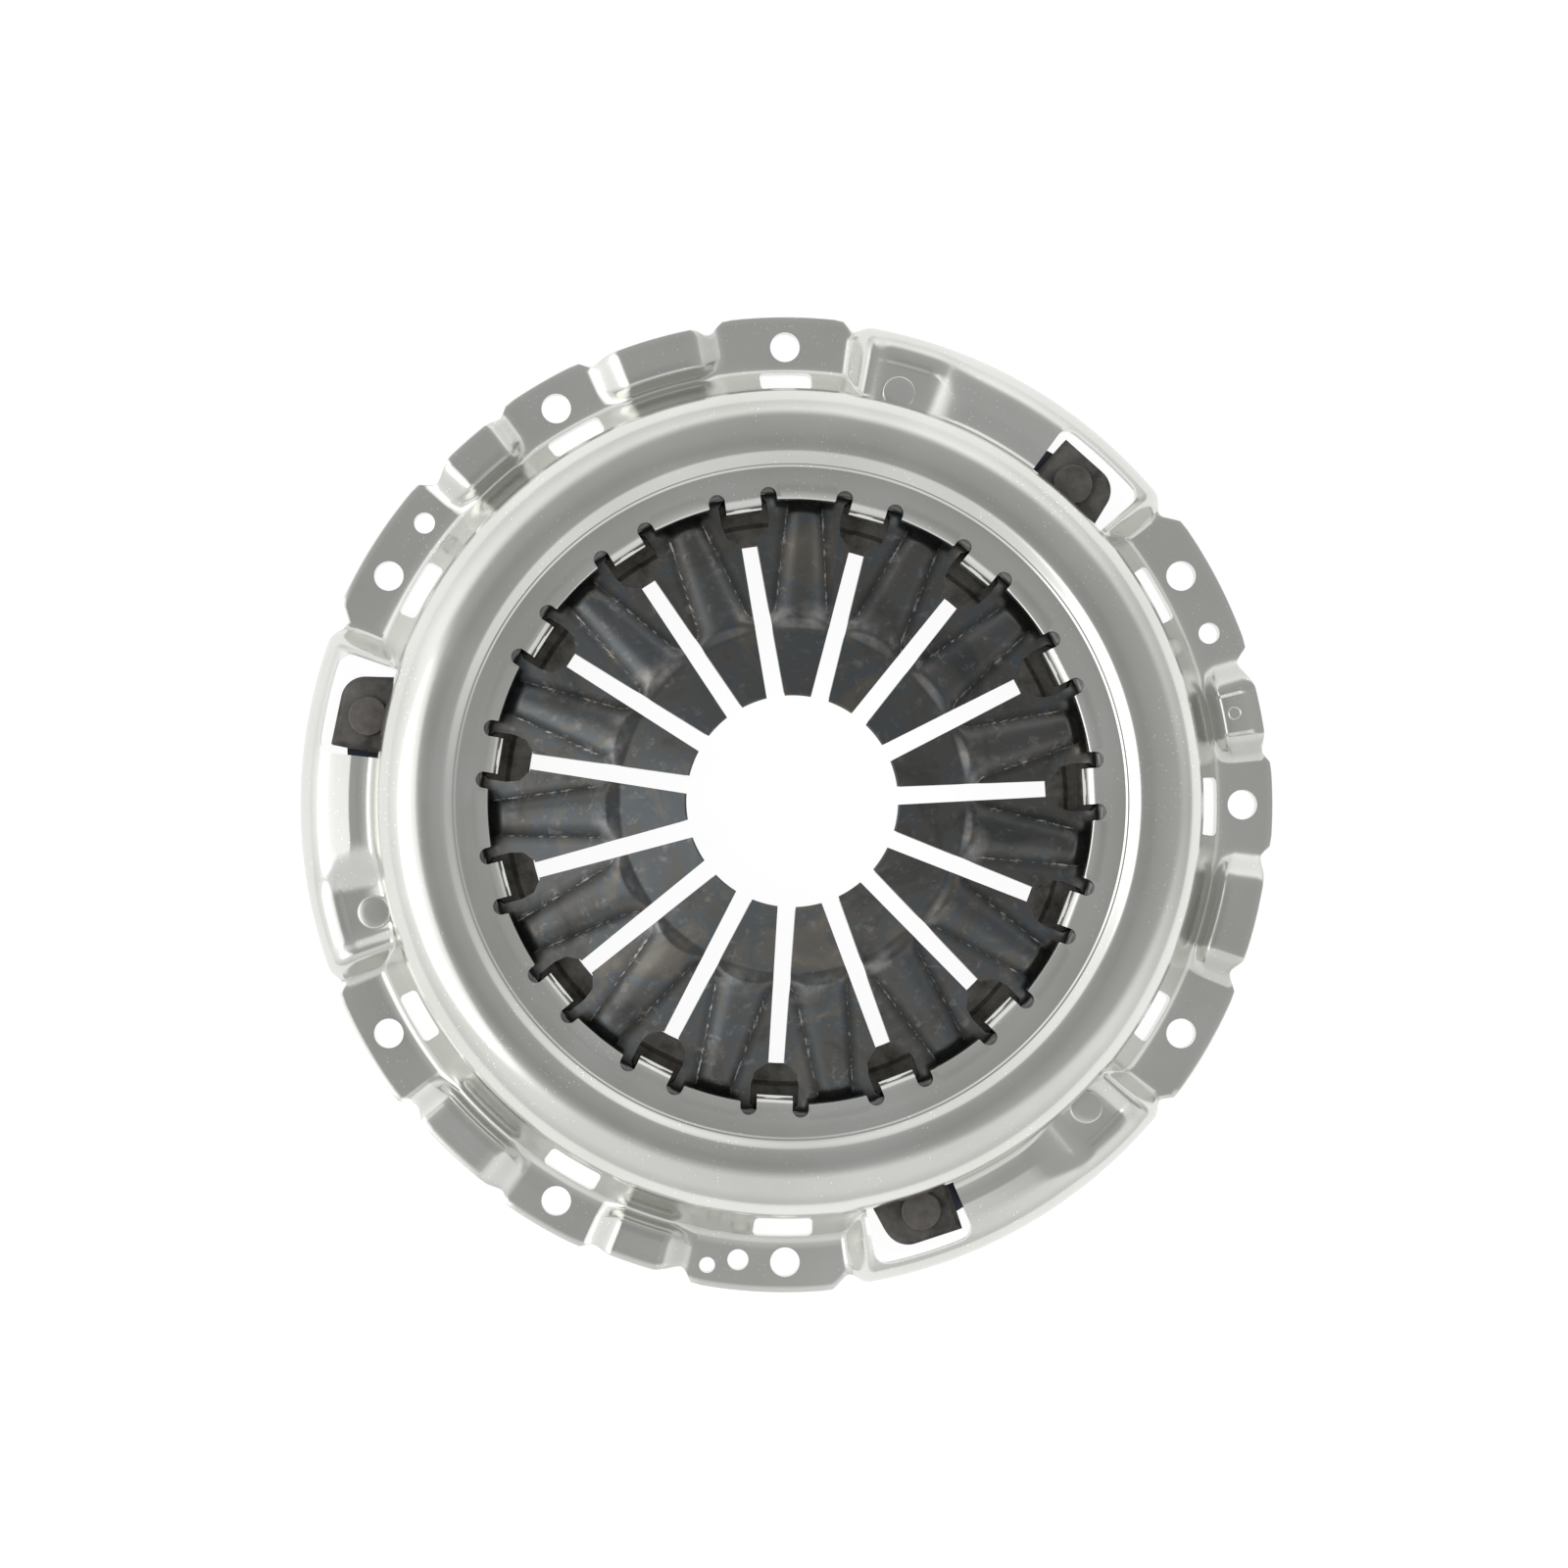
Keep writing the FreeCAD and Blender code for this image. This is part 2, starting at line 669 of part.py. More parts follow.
# Pressure plate: a turned ring with a ridge that the diaphragm bears on, three lugs for the
# straps, and its rim cut back along each strap. Its X axis passes through the middle of a strap.
def make_plate():
    body = new_body("pressure_plate", strap_middle)
    top = size.plate_top
    channel = top - size.channel_depth
    half_ridge = size.ridge_width / 2
    ridge_top = spring_top(size.ridge_radius + half_ridge) - spring_half * 2 - size.ridge_gap
    half_foot = size.ridge_foot / 2
    section = polygon(new_sketch(body, "plate_section", "XZ_Plane"), [
        (size.bore_radius + size.bore_flare, size.face_height),
        (size.plate_radius, size.face_height),
        (size.plate_radius, size.face_height + size.rim_height),
        (size.body_radius, size.face_height + size.rim_height + size.rim_taper),
        (size.body_radius, top),
        (size.ridge_radius + half_foot, top),
        (size.ridge_radius + half_ridge, ridge_top),
        (size.ridge_radius - half_ridge, ridge_top),
        (size.ridge_radius - half_foot, channel),
        (size.inner_rim + size.channel_depth, channel),
        (size.inner_rim, top),
        (size.bore_radius, top),
    ])
    revolve(body, "plate_casting", section)

    root = size.ridge_radius + half_foot
    lug = polygon(new_sketch(body, "lug_outline", "XY_Plane", size.lug_under, -half_span), [
        (root, -size.lug_back - size.lug_flare), (size.lug_radius, -size.lug_back),
        (size.lug_radius, size.lug_front), (root, size.lug_front),
    ])
    lug_height = size.lug_top - size.lug_under
    block = extrude(body, "Pad", "lug", lug, lug_height)
    repeat(body, "lugs", [block], len(groups))
    corner_reach = math.hypot(size.lug_radius.value, size.lug_back.value)

    def at_lug_corner(edge):
        ends = [vertex.Point for vertex in edge.Vertexes]
        reach = [math.hypot(point.x, point.y) for point in ends]
        turned_back = all(abs(distance - corner_reach) < 0.001 for distance in reach)
        return turned_back and len(ends) == 2 and abs(ends[0].z - ends[1].z) > size.lug_chamfer.value
    round_edges(body, "lug_corners", size.lug_round, at_lug_corner)

    def on_lug_top(edge):
        ends = [vertex.Point for vertex in edge.Vertexes]
        level = all(abs(point.z - size.lug_top.value) < 0.01 for point in ends)
        outside = max(math.hypot(point.x, point.y) for point in ends) > size.plate_radius.value
        return level and outside and len(ends) == 2
    round_edges(body, "lug_chamfers", size.lug_chamfer, on_lug_top, "Chamfer")

    end = strap_reach + size.strap_overhang + size.strap_clearance
    clear_side = size.lug_front + size.lug_front * sine(half_span) + size.lug_chamfer - strap_reach
    under = polygon(new_sketch(body, "strap_pocket", "XY_Plane", size.lug_under), [
        (size.strap_relief, -end), (size.ear_radius, -end), (size.ear_radius, end), (size.strap_relief, end),
    ])
    pocket = extrude(body, "Pocket", "strap_relief_under_lug", under, size.lug_under)
    beside = polygon(new_sketch(body, "strap_clearance", "XY_Plane", size.dome_top), [
        (size.strap_relief, clear_side), (size.ear_radius, clear_side),
        (size.ear_radius, strap_reach + size.strap_width),
        (size.ear_radius * cosine(size.relief_end), size.ear_radius * sine(size.relief_end)),
        (size.body_radius * cosine(size.relief_end), size.body_radius * sine(size.relief_end)),
        (size.strap_relief, strap_reach - size.strap_width),
    ])
    opening = extrude(body, "Pocket", "strap_relief_beside_lug", beside, size.dome_top)
    rivet_hole = (size.rivet_shank + size.rivet_clearance) / 2
    hole = circles(new_sketch(body, "lug_hole", "XY_Plane", size.dome_top),
                   [(strap_offset, -strap_reach)], rivet_hole)
    drilled = extrude(body, "Pocket", "rivet_hole", hole, size.dome_top)
    repeat(body, "strap_reliefs", [pocket, opening, drilled], len(groups))

    vent = polygon(new_sketch(body, "vent_outline", "XY_Plane", size.dome_top), [
        (size.ridge_radius - size.ridge_foot, -size.vent_width / 2), (size.body_radius, -size.vent_width / 2),
        (size.body_radius, size.vent_width / 2), (size.ridge_radius - size.ridge_foot, size.vent_width / 2),
    ])
    vents = extrude(body, "Pocket", "ridge_vent", vent, size.dome_top - top)
    repeat(body, "ridge_vents", [vents], size.vent_count)
    return body


# One leaf of a drive strap: flat under the cover pad, bent down and flat again under the lug.
def make_leaf(pack, layer):
    name = f"strap_{pack + 1}_leaf_{layer + 1}"
    body = new_body(name, strap_middle + groups[pack])
    depth = size.strap_leaf * layer
    high = pad_under - depth
    low = size.lug_under - depth
    end = strap_reach + size.strap_overhang
    bend = size.strap_bend
    side = polygon(new_sketch(body, f"{name}_side", "YZ_Plane", strap_offset), [
        (-end, low), (-bend, low), (bend, high), (end, high),
        (end, high - size.strap_leaf), (bend, high - size.strap_leaf),
        (-bend, low - size.strap_leaf), (-end, low - size.strap_leaf),
    ])
    extrude(body, "Pad", f"{name}_strip", side, size.strap_width, symmetric=True)
    rivet_hole = (size.rivet_shank + size.rivet_clearance) / 2
    holes = circles(new_sketch(body, f"{name}_holes", "XY_Plane", size.dome_top),
                    [(strap_offset, -strap_reach), (strap_offset, strap_reach)], rivet_hole)
    body.Tip = extrude(body, "Pocket", f"{name}_punching", holes, size.dome_top)

    def at_corner(edge):
        ends = [vertex.Point for vertex in edge.Vertexes]
        if len(ends) < 2 or abs(ends[0].z - ends[1].z) < size.strap_leaf.value / 2:
            return False
        return all(abs(abs(point.y) - end.value) < 0.01 for point in ends)
    round_edges(body, f"{name}_ends", size.strap_width * 0.45, at_corner)
    return body


# A rivet on the strap circle: set head on top, shank, and closing head under the strap pack.
def make_rivet(name, angle, head, head_height, seat, pack_under):
    body = new_body(name)
    angle = as_size(angle)
    for letter, distance in (("x", strap_radius * cosine(angle)), ("y", strap_radius * sine(angle))):
        body.setExpression(f"Placement.Base.{letter}", distance.text)
    shank = size.rivet_shank / 2
    closing = size.closing_head / 2
    bottom = pack_under - size.closing_head_height
    edge = head_height * 0.4
    section = polygon(new_sketch(body, f"{name}_section", "XZ_Plane"), [
        (0, bottom), (closing - edge, bottom), (closing, bottom + edge), (closing, pack_under),
        (shank, pack_under), (shank, seat), (head / 2, seat), (head / 2, seat + head_height - edge),
        (head / 2 - edge, seat + head_height), (0, seat + head_height),
    ])
    revolve(body, f"{name}_turning", section)
    return body


cover = make_cover()
subparts = [cover, make_spring(), make_plate()]
subparts.append(make_fulcrum_ring("upper_fulcrum_ring", upper_ring_height))
subparts.append(make_fulcrum_ring("lower_fulcrum_ring", lower_ring_height))
for pack, group in enumerate(groups):
    for layer in range(int(size.strap_leaves.value)):
        subparts.append(make_leaf(pack, layer))
    subparts.append(make_rivet(
        f"cover_rivet_{pack + 1}", size.cover_rivet_angle + group, size.cover_head,
        size.cover_head_height, size.pad_top, pad_under - pack_depth))
    subparts.append(make_rivet(
        f"plate_rivet_{pack + 1}", size.plate_rivet_angle + group, size.plate_head,
        size.plate_head_height, size.lug_top, size.lug_under - pack_depth))
document.recompute()

failed = [item.Name for item in document.Objects if {"Invalid", "Error"} & set(item.State)]
if failed:
    raise RuntimeError(f"failed objects: {failed}")
for item in subparts:
    if item.Shape.isNull() or not item.Shape.isValid():
        raise RuntimeError(f"bad shape: {item.Label}")

os.makedirs("parts", exist_ok=True)
for item in subparts:
    item.Shape.exportStep(os.path.join("parts", f"{item.Label}.step"))
    print(item.Label, len(item.Shape.Solids), round(item.Shape.Volume), len(item.Shape.Faces))
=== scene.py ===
from math import cos, radians, sin, tan

import bmesh
import bpy
import numpy as np
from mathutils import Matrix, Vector


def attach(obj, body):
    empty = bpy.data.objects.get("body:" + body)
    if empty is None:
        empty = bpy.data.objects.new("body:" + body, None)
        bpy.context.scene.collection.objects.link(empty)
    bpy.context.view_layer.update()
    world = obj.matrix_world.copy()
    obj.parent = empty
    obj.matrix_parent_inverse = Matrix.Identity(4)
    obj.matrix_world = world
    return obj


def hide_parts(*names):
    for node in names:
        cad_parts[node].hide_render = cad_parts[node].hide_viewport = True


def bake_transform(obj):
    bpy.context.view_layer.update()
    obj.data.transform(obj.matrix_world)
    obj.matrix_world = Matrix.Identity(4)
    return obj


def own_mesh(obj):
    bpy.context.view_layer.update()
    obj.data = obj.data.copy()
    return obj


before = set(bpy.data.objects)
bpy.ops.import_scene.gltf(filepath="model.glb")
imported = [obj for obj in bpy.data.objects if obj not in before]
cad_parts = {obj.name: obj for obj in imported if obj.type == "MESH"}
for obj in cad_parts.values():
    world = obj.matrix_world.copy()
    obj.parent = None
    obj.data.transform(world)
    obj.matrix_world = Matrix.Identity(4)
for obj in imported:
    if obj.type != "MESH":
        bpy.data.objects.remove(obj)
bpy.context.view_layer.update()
print("frame loaded")

# All dictionaries are in millimetres and degrees. The layout repeats every 120 degrees,
# and angles run anticlockwise from +X, seen from above.
millimetre = 0.001
thirds = (0, 120, 240)


# Mesh helpers
def smoothStep(share):
    share = np.clip(share, 0, 1)
    return share * share * (3 - 2 * share)


# Quads between neighbouring points of a grid of rows and columns, closed in either way if asked.
def gridQuads(rows, columns, closeRows=False, closeColumns=False):
    row = np.arange(rows if closeRows else rows - 1)[:, None]
    column = np.arange(columns if closeColumns else columns - 1)[None, :]
    nextRow = (row + 1) % rows
    nextColumn = (column + 1) % columns
    corners = (row * columns + column, nextRow * columns + column,
               nextRow * columns + nextColumn, row * columns + nextColumn)
    return np.stack(corners, axis=-1).reshape(-1, 4)


def newObject(name, points, faces):
    mesh = bpy.data.meshes.new(name)
    mesh.from_pydata((np.asarray(points) * millimetre).tolist(), [], [list(face) for face in faces])
    piece = bpy.data.objects.new(name, mesh)
    bpy.context.scene.collection.objects.link(piece)
    return piece


# Merges doubled points and turns every face outwards.
def closeMesh(piece, distance=0.0005):
    mesh = bmesh.new()
    mesh.from_mesh(piece.data)
    bmesh.ops.remove_doubles(mesh, verts=mesh.verts, dist=distance * millimetre)
    bmesh.ops.dissolve_degenerate(mesh, edges=mesh.edges, dist=distance * millimetre)
    bmesh.ops.recalc_face_normals(mesh, faces=mesh.faces)
    mesh.to_mesh(piece.data)
    mesh.free()
    return piece


def shadeSmooth(piece, sharpAngle=32):
    mesh = piece.data
    mesh.polygons.foreach_set("use_smooth", [True] * len(mesh.polygons))
    mesh.set_sharp_from_angle(angle=radians(sharpAngle))
    mesh.update()


# Puts the result of the piece's modifiers into its mesh.
def applyModifiers(piece):
    depsgraph = bpy.context.evaluated_depsgraph_get()
    finished = bpy.data.meshes.new_from_object(piece.evaluated_get(depsgraph))
    old = piece.data
    piece.modifiers.clear()
    piece.data = finished
    finished.name = piece.name
    bpy.data.meshes.remove(old)


def joinMeshes(name, parts):
    points, faces, offset = [], [], 0
    for partPoints, partFaces in parts:
        points.append(partPoints)
        faces += [[index + offset for index in face] for face in partFaces]
        offset += len(partPoints)
    return closeMesh(newObject(name, np.concatenate(points), faces))


def combine(piece, other, operation):
    step = piece.modifiers.new(operation, "BOOLEAN")
    step.operation = operation
    step.object = other
    step.solver = "MANIFOLD"
    applyModifiers(piece)
    bpy.data.objects.remove(other)


# Closed outlines whose corners are arcs. Each corner becomes the curve from one side to the
# other with weight cos(turn / 2) at the corner, which is an exact arc. Two corners that need more
# than the side between them shrink by the same share. Whole stacks are done at once.
def roundedOutline(corners, radii, arcSteps, lineSteps):
    corners = np.asarray(corners, float)
    before = np.roll(corners, 1, axis=-2) - corners
    after = np.roll(corners, -1, axis=-2) - corners
    lengthBefore = np.linalg.norm(before, axis=-1)
    lengthAfter = np.linalg.norm(after, axis=-1)
    before = before / lengthBefore[..., None]
    after = after / lengthAfter[..., None]
    inside = np.arccos(np.clip((before * after).sum(-1), -1, 1)) / 2
    reach = np.asarray(radii, float) / np.tan(np.maximum(inside, 0.01))
    roomAfter = 0.96 * lengthAfter / (reach + np.roll(reach, -1, axis=-1))
    reach = reach * np.minimum(1, np.minimum(roomAfter, np.roll(roomAfter, 1, axis=-1)))
    starts = corners + before * reach[..., None]
    ends = corners + after * reach[..., None]
    pull = np.sin(inside)
    run = []
    count = corners.shape[-2]
    for index in range(count):
        share = np.linspace(0, 1, arcSteps[index] + 1)[:, None]
        first, last = (1 - share) ** 2, share ** 2
        middle = 2 * share * (1 - share) * pull[..., index, None, None]
        arc = first * starts[..., index, None, :] + last * ends[..., index, None, :]
        run.append((arc + middle * corners[..., index, None, :]) / (first + middle + last))
        share = np.arange(1, lineSteps[index])[:, None] / lineSteps[index]
        following = starts[..., (index + 1) % count, None, :]
        run.append(ends[..., index, None, :] * (1 - share) + following * share)
    return np.concatenate(run, axis=-2)


# An upright prism on a flat outline.
def prism(outline, bottom, top):
    count = len(outline)
    low = np.column_stack([outline, np.full(count, bottom)])
    high = np.column_stack([outline, np.full(count, top)])
    index = np.arange(count)
    following = (index + 1) % count
    walls = np.column_stack([index, following, following + count, index + count]).tolist()
    return np.concatenate([low, high]), walls + [index[::-1].tolist(), (index + count).tolist()]


def circleOutline(diameter, radius, angle, steps=56):
    turn = np.linspace(0, 2 * np.pi, steps, endpoint=False)
    centre = radius * np.array([cos(radians(angle)), sin(radians(angle))])
    return centre + diameter / 2 * np.column_stack([np.cos(turn), np.sin(turn)])


def polarToFlat(radius, angle):
    return np.column_stack([radius * np.cos(angle), radius * np.sin(angle)])


# Part of a ring with rounded corners, worked out as a rectangle of radius and arc length.
def ringOutline(inner, outer, start, end, corner, steps=6):
    middle = (inner + outer) / 2
    low, high = radians(start) * middle, radians(end) * middle
    box = [(inner, low), (outer, low), (outer, high), (inner, high)]
    outline = roundedOutline(box, [corner] * 4, [steps] * 4, [3, 8, 3, 8])
    return polarToFlat(outline[:, 0], outline[:, 1] / middle)


def turnOutline(outline, angle):
    turn = radians(angle)
    x, y = outline[:, 0], outline[:, 1]
    return np.column_stack([x * cos(turn) - y * sin(turn), x * sin(turn) + y * cos(turn)])


# Cover pressing
cover = {
    "sheet": 4.0,
    "boltRadius": 131.5,
    "boltHole": 8.5,
    "dowelHole": 6.06,
    "dowelAngles": (22, 142, 264.1),
    "gaugeHole": 4.6,
    "gaugeRadius": 134.2,
    "gaugeAngle": 260.4,
    "rivetHole": 6.4,
    "rivetRadius": 121.5,
    "rivetAngle": 74.7,
    "earTop": 4.0,
    "bridgeTop": 9.2,
    "housingTop": 14.0,
    "padTop": 10.2,
    "ridgeTop": 11.8,
    "skirtFoot": 124.5,
    "skirtTop": (117.0, 14.5),
    "domeWall": 116.5,
    "domeTop": 34.4,
    "domeRound": 14.5,
    "crest": (96.9, 100.8, 0.4),          # start, end and height of the gentle rise to the dome's top
    "crease": 93.2,
    "creaseStep": (0.55, 0.95, 0.32),     # start, end and height of a fine ledge past the crease
    "ringTop": 32.0,
    "land": 84.1,
    "housingRim": 139.4,
    "housingFoot": 2.0,
    "housingRound": 11.0,
    "housingFall": 1.8,
    "pocketFoot": 129.0,                  # the pocket of a strap rivet rises from here to the rim
    "flange": {"ear": (3.0, 5.5), "bridge": (1.5, 2.4)},     # bend at the skirt's foot, and its reach
    "underWall": (13.15, 3.0),            # height and bend under the dome's wall
    "underFoot": 122.52,
    "slotRadii": (118.0, 124.0),
    "slotCorner": 1.5,
    "slotTop": 16.5,
    "slots": ((-30, -3.5, 3.5), (0, -4.2, 3.6), (30, -4.4, 3.6)),
    "windowRadii": (103.2, 134.3),
    "windowAngles": (41.0, 53.65),
    "windowTop": 21.5,
    "windowCorner": 4.0,
    "raisedPad": {
        "angles": (8.9, 13.85), "radii": (126.4, 135.2), "height": 0.9,
        "edges": (0.9, 0.4, 2.4),         # widths of the slopes beside, inside and outside
    },
    "punchMark": {"angle": 11.45, "radius": 130.6, "diameter": 3.4, "wire": 0.28},
    "gapFoot": 20.0,
    "cutMargin": 6.0,
    "trimBlur": 0.3,
    "shortRun": 5.0,                      # runs shorter than this get the fine step
    "steps": (0.36, 1.2),
}
# Heights round one third of the flange: angle from the middle ear, and kind of section.
coverStations = [
    (-37.4, "ear"), (-22.5, "ear"), (-18.5, "bridge"), (-9.8, "bridge"), (-5.2, "ear"),
    (5.2, "ear"), (8.7, "bridge"), (14.4, "bridge"), (18.75, "ear"), (37.3, "ear"),
    (41.0, "housing"), (64.5, "housing"), (70.5, "pad"), (77.1, "pad"), (79.2, "ridge"), (82.6, "ear"),
]
creasedRun = 70.5      # the run that ends here bends down in a sharp line, the others ease out
# Trimmed edge round one third: radius, from, to. Straight lines join the spans.
coverTrim = [
    (140.3, -36.9, -22.6), (136.4, -20.9, -20.3), (138.4, -18.9, -8.2), (137.5, -6.6, -6.0),
    (140.3, -4.9, 5.0), (137.7, 6.3, 6.8), (138.4, 8.6, 14.2), (136.0, 17.0, 17.6),
    (140.3, 18.9, 35.6), (136.2, 37.6, 38.4), (140.3, 40.2, 79.1), (136.8, 81.2, 81.8),
]
sectionKinds = ["ear", "bridge", "housing", "pad", "ridge"]
topCorners = 12     # corners 0 to 11 of each section are on the upper face
# Steps round each corner, and from it to the next one.
arcSteps = [2, 8, 3, 4, 3, 16, 3, 4, 3, 3, 3, 2, 2, 2, 2, 5, 3, 3, 2, 2, 2]
lineSteps = [2, 3, 2, 3, 4, 2, 1, 3, 1, 1, 2, 1, 1, 1, 1, 3, 2, 1, 1, 1, 1]


# Corners of the closed section of the sheet, from the rim over the dome to the ring inside it
# and back underneath. Each is radius, height, corner radius, and 1 where it follows the trim.
def sectionCorners(kind):
    sheet, foot, wall = cover["sheet"], cover["skirtFoot"], cover["domeWall"]
    ring, dome = cover["ringTop"], cover["domeTop"]
    height = cover[kind + "Top"]
    lower = height - sheet
    near, far, step = cover["creaseStep"]
    crestStart, crestTop, crestRise = cover["crest"]
    crease = cover["crease"]
    dish = [
        (wall, dome, cover["domeRound"], 0), (crestTop, dome, 30, 0),
        (crestStart, dome - crestRise, 3.5, 0), (crease + far, ring + step, 0.35, 0),
        (crease + near, ring + step, 0.25, 0), (crease, ring, 0.4, 0),
        (cover["land"], ring, 0.7, 0), (cover["land"], ring - sheet, 0.5, 0),
        (crease + 0.6, ring - sheet, 4, 0), (crestStart + 0.6, dome - sheet, 4, 0),
        (wall - sheet, dome - sheet, 10, 0),
    ]
    if kind in ("housing", "pad", "ridge"):
        rim, edge = cover["housingRim"], cover["housingFoot"]
        corner = wall + (0.1 if kind == "pad" else 1.9)
        shoulder = cover["housingTop"] - cover["housingFall"]
        inward = foot if kind == "housing" else cover["pocketFoot"]
        return [
            (rim, edge, 0.5, 0), (rim, shoulder, cover["housingRound"], 0), (inward, height, 5, 0),
            (corner, height, 2.2, 0), (wall, height + 3.2, 2.0, 0), *dish,
            (wall - sheet, lower, 1.2, 0), (foot - 2, lower, 1, 0), (foot + 2.6, lower, 1, 0),
            (rim - sheet, lower, 6, 0), (rim - sheet, edge, 0.5, 0),
        ]
    rise = height - sheet
    bend, reach = cover["flange"][kind]
    wallHeight, wallBend = cover["underWall"]
    return [
        (0, height, 0.55, 1), (-3.5, height, 1, 1), (foot + reach, height, 2.2, 0),
        (foot, sheet + 0.1 * rise, bend, 0), (*cover["skirtTop"], 3, 0), *dish,
        (wall - sheet, wallHeight, wallBend, 0), (cover["underFoot"], 0.1 * lower, 2.5, 0),
        (foot + 2.6, 0.1 * lower, 1.5, 0), (foot + 5, lower, 1.5, 0), (0, lower, 0.5, 1),
    ]


# Angles of the sections: close together on ramps and corners of the trim, wide on level runs.
def coverAngles():
    pad = cover["raisedPad"]
    knots = {angle for angle, kind in coverStations}
    knots |= {angle for radius, start, end in coverTrim for angle in (start, end)}
    knots |= {angle + shift for angle in pad["angles"] for shift in (-0.2, 0.2)}
    last = coverStations[-1][0]
    knots = sorted(angle for angle in knots if angle < last) + [last]
    fine, wide = cover["steps"]
    local = []
    for start, end in zip(knots, knots[1:]):
        step = fine if end - start < cover["shortRun"] else wide
        count = max(1, round((end - start) / step))
        local.append(np.linspace(start, end, count, endpoint=False))
    local = np.concatenate(local)
    return np.concatenate([local + third for third in thirds]), np.tile(local, 3)


# The cover's surface: section corners blended round the axis by smoothstep between stations,
# rounded as one stack, and swung to their angles.
def coverShell():
    angles, local = coverAngles()
    sections = np.array([sectionCorners(kind) for kind in sectionKinds], float)
    places = np.array([angle for angle, kind in coverStations])
    kinds = np.array([sectionKinds.index(kind) for angle, kind in coverStations])
    left = np.clip(np.searchsorted(places, local, side="right") - 1, 0, len(places) - 2)
    share = (local - places[left]) / (places[left + 1] - places[left])
    share = np.where(places[left + 1] == creasedRun, share ** 2, smoothStep(share))[:, None, None]
    blended = sections[kinds[left]] * (1 - share) + sections[kinds[left + 1]] * share

    trimAngles = np.array([angle for radius, start, end in coverTrim for angle in (start, end)])
    trimRadii = np.repeat([radius for radius, start, end in coverTrim], 2)
    trimAngles = np.concatenate([trimAngles - 120, trimAngles, trimAngles + 120])
    trimRadii = np.tile(trimRadii, 3)
    spread = cover["trimBlur"] * np.linspace(-1, 1, 7)
    trim = np.mean([np.interp(local + shift, trimAngles, trimRadii) for shift in spread], axis=0)

    corners = blended[:, :, :2].copy()
    corners[:, :, 0] += blended[:, :, 3] * trim[:, None]
    path = roundedOutline(corners, blended[:, :, 2], arcSteps, lineSteps)
    onTop = np.arange(path.shape[1]) < sum(arcSteps[:topCorners]) + sum(lineSteps[:topCorners])
    radius, height = path[..., 0], path[..., 1]

    pad = cover["raisedPad"]
    turn = np.radians(angles)[:, None]
    besideEdge, innerEdge, outerEdge = pad["edges"]
    arcLength = cover["boltRadius"] * radians(1)
    along = smoothStep((angles - pad["angles"][0]) * arcLength / besideEdge + 0.5)
    along *= smoothStep((pad["angles"][1] - angles) * arcLength / besideEdge + 0.5)
    across = smoothStep((radius - pad["radii"][0]) / innerEdge + 0.5)
    across = across * smoothStep((pad["radii"][1] - radius) / outerEdge + 0.5)
    height = height + pad["height"] * along[:, None] * across * onTop
    points = np.stack([radius * np.cos(turn), radius * np.sin(turn), height], axis=-1)
    faces = gridQuads(len(angles), path.shape[1], True, True)
    return closeMesh(newObject("cover_pressing", points.reshape(-1, 3), faces))


# Tabs: the ring's sheet bent down through the spring and hooked outwards under the lower ring.
tabs = {
    "count": 15, "angle": 3, "width": 10, "sheet": 3.2, "radius": 81.8, "hook": 90.5,
    "hookTop": 18.72, "reliefRadius": 85.5, "reliefHole": 4.6, "reliefAngle": 4.85,
    "reliefLip": 0.9, "gapDepth": 3.0,
    "root": 88.5,
    "bends": [0.1, 3.6, 3.2, 0.4, 0.4, 0.8, 0.8, 0.1],
    "bendSteps": [1, 7, 6, 2, 2, 3, 3, 1],
}


def tabAngles():
    return [tabs["angle"] + 360 / tabs["count"] * index for index in range(tabs["count"])]


def tabMeshes():
    ring, sheet, front, root = cover["ringTop"] - 0.01, tabs["sheet"], tabs["radius"], tabs["root"]
    back, under, hook = front + sheet, tabs["hookTop"] - sheet, tabs["hook"]
    lower = cover["ringTop"] - cover["sheet"]
    section = roundedOutline([
        (root, ring), (front, ring), (front, under), (hook, under), (hook, under + sheet),
        (back, under + sheet), (back, lower), (root, lower + 0.01),
    ], tabs["bends"], tabs["bendSteps"], [1] * 8)
    flat, faces = prism(section, -tabs["width"] / 2, tabs["width"] / 2)
    meshes = []
    for angle in tabAngles():
        turn = radians(angle)
        radial, upward, side = flat[:, 0], flat[:, 1], flat[:, 2]
        x = radial * cos(turn) - side * sin(turn)
        y = radial * sin(turn) + side * cos(turn)
        meshes.append((np.column_stack([x, y, upward]), faces))
    return meshes


# The opening round a tab: a strip off the ring's edge that ends in a round relief on each side,
# with a rounded lip where the relief meets the ring's edge.
def gapOutline():
    reach = tabs["reliefRadius"] * cos(radians(tabs["reliefAngle"]))
    side = tabs["reliefRadius"] * sin(radians(tabs["reliefAngle"]))
    hole = tabs["reliefHole"] / 2
    turn = np.radians(np.linspace(-90, 90, 15))
    arc = np.column_stack([reach + hole * np.cos(turn), hole * np.sin(turn)])
    inner, lip = cover["land"] - tabs["gapDepth"], tabs["reliefLip"]
    turn = np.radians(np.linspace(0, 90, 7))
    edge = np.sqrt((cover["land"] - 0.1) ** 2 - (side + hole + lip) ** 2)
    mouth = np.column_stack([edge + lip - lip * np.sin(turn), side + hole + lip - lip * np.cos(turn)])
    half = np.concatenate([arc + (0, side), mouth, [(inner, side + hole + lip)]])
    return np.concatenate([half[::-1] * (1, -1), half])


